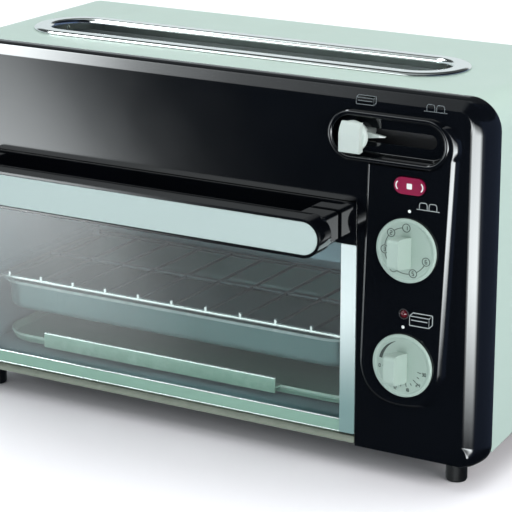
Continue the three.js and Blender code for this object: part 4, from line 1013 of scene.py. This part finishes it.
def make_bottom_rail(glass):
    x0, x1, front, rear, low, top = DOOR_RAIL
    step = low + 4.7
    section = [(front, low), (rear, low), (rear, top), (glass[3] + GAP, top), (glass[3] + GAP, low + 3.2),
               (glass[2] - GAP, low + 3.2), (glass[2] - GAP, step), (front, step)]
    rail = slab("bottom_channel", [section], "x", x0, x1)
    pins = []
    for side in ("left", "right"):
        p = node_box(f"hinge_pin_{side}")
        y, z = (p[2] + p[3]) / 2, (p[4] + p[5]) / 2
        pins.append(wire("pin", [(p[0] - GAP, y, z), (p[1] + GAP, y, z)], 2.1, 24))
    rail = rounded(cut(rail, *pins), 0.35, 3, 50)
    fit(rail, "door", "silver_trim", ["door_bottom_rail"], look="rail_olive")
    left, right = node_box("door_strip_left")[1] + GAP, node_box("door_strip_right")[0] - GAP
    face = glass[2] - GAP
    lip = block("sill_lip", left, right, face - 0.8, face, step + GAP, SILL_LIP_TOP - 0.5)
    fit(rounded(lip, 0.2, 2), "door", "silver_trim", look="sill_green")
    edges = [wire("edge", [(left, face - 0.5, z), (right, face - 0.5, z)], 0.5, 12)
             for z in (SILL_LIP_TOP - 0.4, step + 0.9)]
    fit(joined("sill_edges", *edges), "door", "silver_trim", look="rack_wire")


def make_handle():
    box = node_box("door_handle")
    inlay = node_box("handle_inlay")
    x0, x1, front, rear, _, top = box
    back = front + 14.5
    bar = slab("bar", [box_obround(box, 0, 24)], "y", front, back)
    pocket = slab("pocket", [box_obround(inlay, GAP, 24)], "y", front - 2, front + 1.5)
    rounded(bar, 1.6, 5, 50)
    cut(bar, pocket)
    rounded(bar, 0.25, 2, 60)
    arms = []
    for left in (x0 + 3, x1 - 25):
        arm = block("arm", left, left + 22, back - 3, rear, DOOR[4] + 1, top - 1)
        arms.append(rounded(arm, 2.4, 5, 50))
    fit(joined("handle_bar", bar, *arms), "door", "gloss_black", ["door_handle"])
    strip = slab("inlay", [box_obround(inlay, 0, 24)], "y", inlay[2], inlay[3])
    fit(rounded(strip, 0.35, 3, 50), "door", "silver_trim", ["handle_inlay"], look="inlay_silver")


# ---- CAD pieces that stay as they are

# Painted shade: parts seen through the slider's track get matt black, so that the track reads dark.
PAINTED_SHADE_INSIDE = ("selector_rail", "control_bracket", "heat_shield")


def dress_frame():
    """Puts each slot's material on the CAD nodes, with matt black as painted shade on those behind the
    slider's track.
    """
    for part in frame["record"]["subparts"]:
        node = frame["nodes"][part["node"]]
        look = materials["matt_black" if part["node"] in PAINTED_SHADE_INSIDE else part["material_slot"]]
        node.data.materials.clear()
        node.data.materials.append(look)


# ---- stage and light

FLOOR_HALF = 6.0


def make_floor():
    mesh = bpy.data.meshes.new("floor")
    side = FLOOR_HALF
    corners = [(-side, -side, 0), (side, -side, 0), (side, side, 0), (-side, side, 0)]
    mesh.from_pydata(corners, [], [(0, 1, 2, 3)])
    floor = new_object("floor", mesh)
    look = surface("pale_floor", (0.92, 0.93, 0.95), 0.85, shade=0.01, shade_scale=2, grain=300, bump=0.01)
    mesh.materials.append(look)
    floor.visible_glossy = False


def softbox(name, place, target, size, power, colour=(1, 1, 1)):
    """A soft light that no gloss mirrors."""
    data = bpy.data.lights.new(name, "AREA")
    data.shape = "RECTANGLE"
    data.size, data.size_y = size
    data.energy = power
    data.color = colour
    light = new_object(name, data)
    light.location = place
    light.rotation_euler = (Vector(target) - Vector(place)).to_track_quat("-Z", "Y").to_euler()
    light.visible_glossy = False
    light.visible_camera = False


def set_colours():
    bpy.context.scene.view_settings.view_transform = "Standard"


CEILING_POWER = 2.3
CEILING_SPREAD = math.radians(70)
CEILING_TILT = (math.radians(-24), math.radians(-6), 0)
RIGHT_POWER = 25.0
FRONT_POWER = 4.0
DAYLIGHT = (0.60, 0.62, 0.65)
TALL_STRIP = 19.0
LEFT_GLOW = 9.0
WINDOW = 2.6
TOP_GLOW = 18.0


def turn_ramp(tree, around, stops):
    """A ramp over the turn, with its stops in degrees from -180 to 180."""
    return tree.ramp(around, [(degrees / 360 + 0.5, value) for degrees, value in stops])


def sine_ramp(tree, value, stops):
    """A ramp over a share of -1 to 1, such as the height, with its stops in that measure."""
    return tree.ramp(value, [(place / 2 + 0.5, level) for place, level in stops])


def product(tree, first, *factors):
    """The product of several values in one chain of nodes."""
    for factor in factors:
        first = tree.maths("MULTIPLY", first, factor)
    return first


def blend(tree, kind, first, second):
    """Two colours multiplied or added."""
    total = tree.mix(1.0, first, second)
    total.node.blend_type = kind
    return total


def glossy_studio(tree):
    """What a gloss sees: a dark front, soft walls, a tall strip, a window and two glows.

    The turn runs from -180 to 180 degrees, with 0 in front of the door and 90 to the right, and the
    height is the sine of the angle above the horizon.
    """
    parts = tree.add("ShaderNodeSeparateXYZ", {0: tree.add("ShaderNodeTexCoord").outputs["Generated"]})
    x, y, z = parts.outputs
    turn = tree.maths("ARCTAN2", x, tree.maths("MULTIPLY", y, -1.0))
    around = tree.maths("ADD", tree.maths("DIVIDE", turn, 2 * math.pi), 0.5)
    height = tree.maths("ADD", tree.maths("MULTIPLY", z, 0.5), 0.5)
    across = tree.maths("ADD", tree.maths("MULTIPLY", x, 0.5), 0.5)
    walls = turn_ramp(tree, around, [
        (-180, (0.80, 0.86, 0.88)), (-66, (0.62, 0.70, 0.74)), (-48, (0.30, 0.38, 0.42)),
        (-37, (0.06, 0.08, 0.10)), (-31, (0.02, 0.028, 0.04)), (40, (0.04, 0.05, 0.07)),
        (50, (0.10, 0.14, 0.24)), (164, (0.12, 0.16, 0.26)),
        (174, (0.70, 0.74, 0.76)), (180, (0.80, 0.86, 0.88))])
    storeys = sine_ramp(tree, height, [
        (-1, 0.04), (-0.5, 0.08), (-0.33, 0.9), (0.33, 1), (0.4, 0.1), (0.7, 0.06), (0.93, 0.1), (1, 0.6)])
    strip = product(
        tree, TALL_STRIP,
        turn_ramp(tree, around, [(-180, 0), (-14, 0), (-4, 0.9), (34, 1), (46, 0.03), (60, 0)]),
        sine_ramp(tree, height, [
            (-1, 0), (-0.365, 0), (-0.345, 0.3), (-0.3, 1), (-0.25, 0.8), (-0.1, 0.25), (0.1, 0)]))
    slanted = tree.maths("ADD", around, tree.maths("MULTIPLY", tree.maths("ADD", z, 0.21), 30 / 360))
    left = product(
        tree, LEFT_GLOW,
        turn_ramp(tree, slanted, [
            (-180, 0), (-62, 0.1), (-44, 0.9), (-37.2, 0.9), (-36.4, 0.62), (-35.4, 0.26), (-34.5, 0.09),
            (-33.5, 0.02), (-31.5, 0)]),
        sine_ramp(tree, height, [
            (-1, 0), (-0.34, 0.08), (-0.3, 0.5), (-0.26, 1), (-0.2, 0.62), (-0.1, 0.4), (0, 0)]))
    window = product(
        tree, WINDOW,
        turn_ramp(tree, around, [(-180, 0), (-62, 0), (-46, 1), (-14, 1), (-4, 0)]),
        sine_ramp(tree, height, [(-1, 0), (0.1, 0), (0.22, 1), (0.5, 1), (0.62, 0)]))
    top = product(
        tree, TOP_GLOW,
        sine_ramp(tree, across, [
            (-1, 0), (-0.72, 0.3), (-0.59, 1), (-0.565, 0.62), (-0.54, 0.17), (-0.5, 0.06), (-0.42, 0.02),
            (0, 0)]),
        sine_ramp(tree, height, [(-1, 0), (0.7, 0), (0.76, 1), (0.92, 1), (1, 0.3)]))
    glow = tree.maths("ADD", tree.maths("ADD", strip, left), tree.maths("ADD", window, top))
    room = blend(tree, "MULTIPLY", walls, storeys)
    return blend(tree, "ADD", room, blend(tree, "MULTIPLY", (0.93, 0.985, 1.0, 1.0), glow))


def make_world():
    """An even white room for matt surfaces, and a studio of strips and walls for glossy ones."""
    world = bpy.data.worlds.new("studio")
    world.use_nodes = True
    tree = Tree(world.node_tree)
    is_gloss = tree.add("ShaderNodeLightPath").outputs["Is Glossy Ray"]
    even = tree.add("ShaderNodeBackground", {"Color": (*DAYLIGHT, 1), "Strength": 1.0})
    studio = tree.add("ShaderNodeBackground", {"Color": glossy_studio(tree), "Strength": 1.0})
    both = tree.add("ShaderNodeMixShader", {0: is_gloss, 1: even.outputs[0], 2: studio.outputs[0]})
    tree.add("ShaderNodeOutputWorld", {"Surface": both.outputs[0]})
    bpy.context.scene.world = world


def make_lights():
    sky = bpy.data.lights.new("ceiling", "SUN")
    sky.energy = CEILING_POWER
    sky.angle = CEILING_SPREAD
    ceiling = new_object("ceiling", sky)
    ceiling.rotation_euler = CEILING_TILT
    ceiling.visible_glossy = False
    softbox("right_fill", (1.7, -0.5, 0.9), (0.1, 0, 0.1), (1.2, 1.2), RIGHT_POWER, (1.0, 0.94, 0.94))
    softbox("front_fill", (0.3, -1.9, 0.8), (0, 0, 0.1), (1.2, 0.9), FRONT_POWER)


# ---- build

make_camera()
set_colours()
make_world()
make_lights()
materials = make_materials()
make_floor()
dress_frame()

make_casing()
make_back()
make_feet()
make_bezel()
make_tongue()
make_recess()

make_knob("browning_knob", "browning")
make_knob("timer_knob", "timer")
make_dial_marks()
make_selector()
make_stop_button()
make_pilot()
make_panel_print()

make_slot_trim()
make_rack()
make_trays()
make_elements()
make_door()
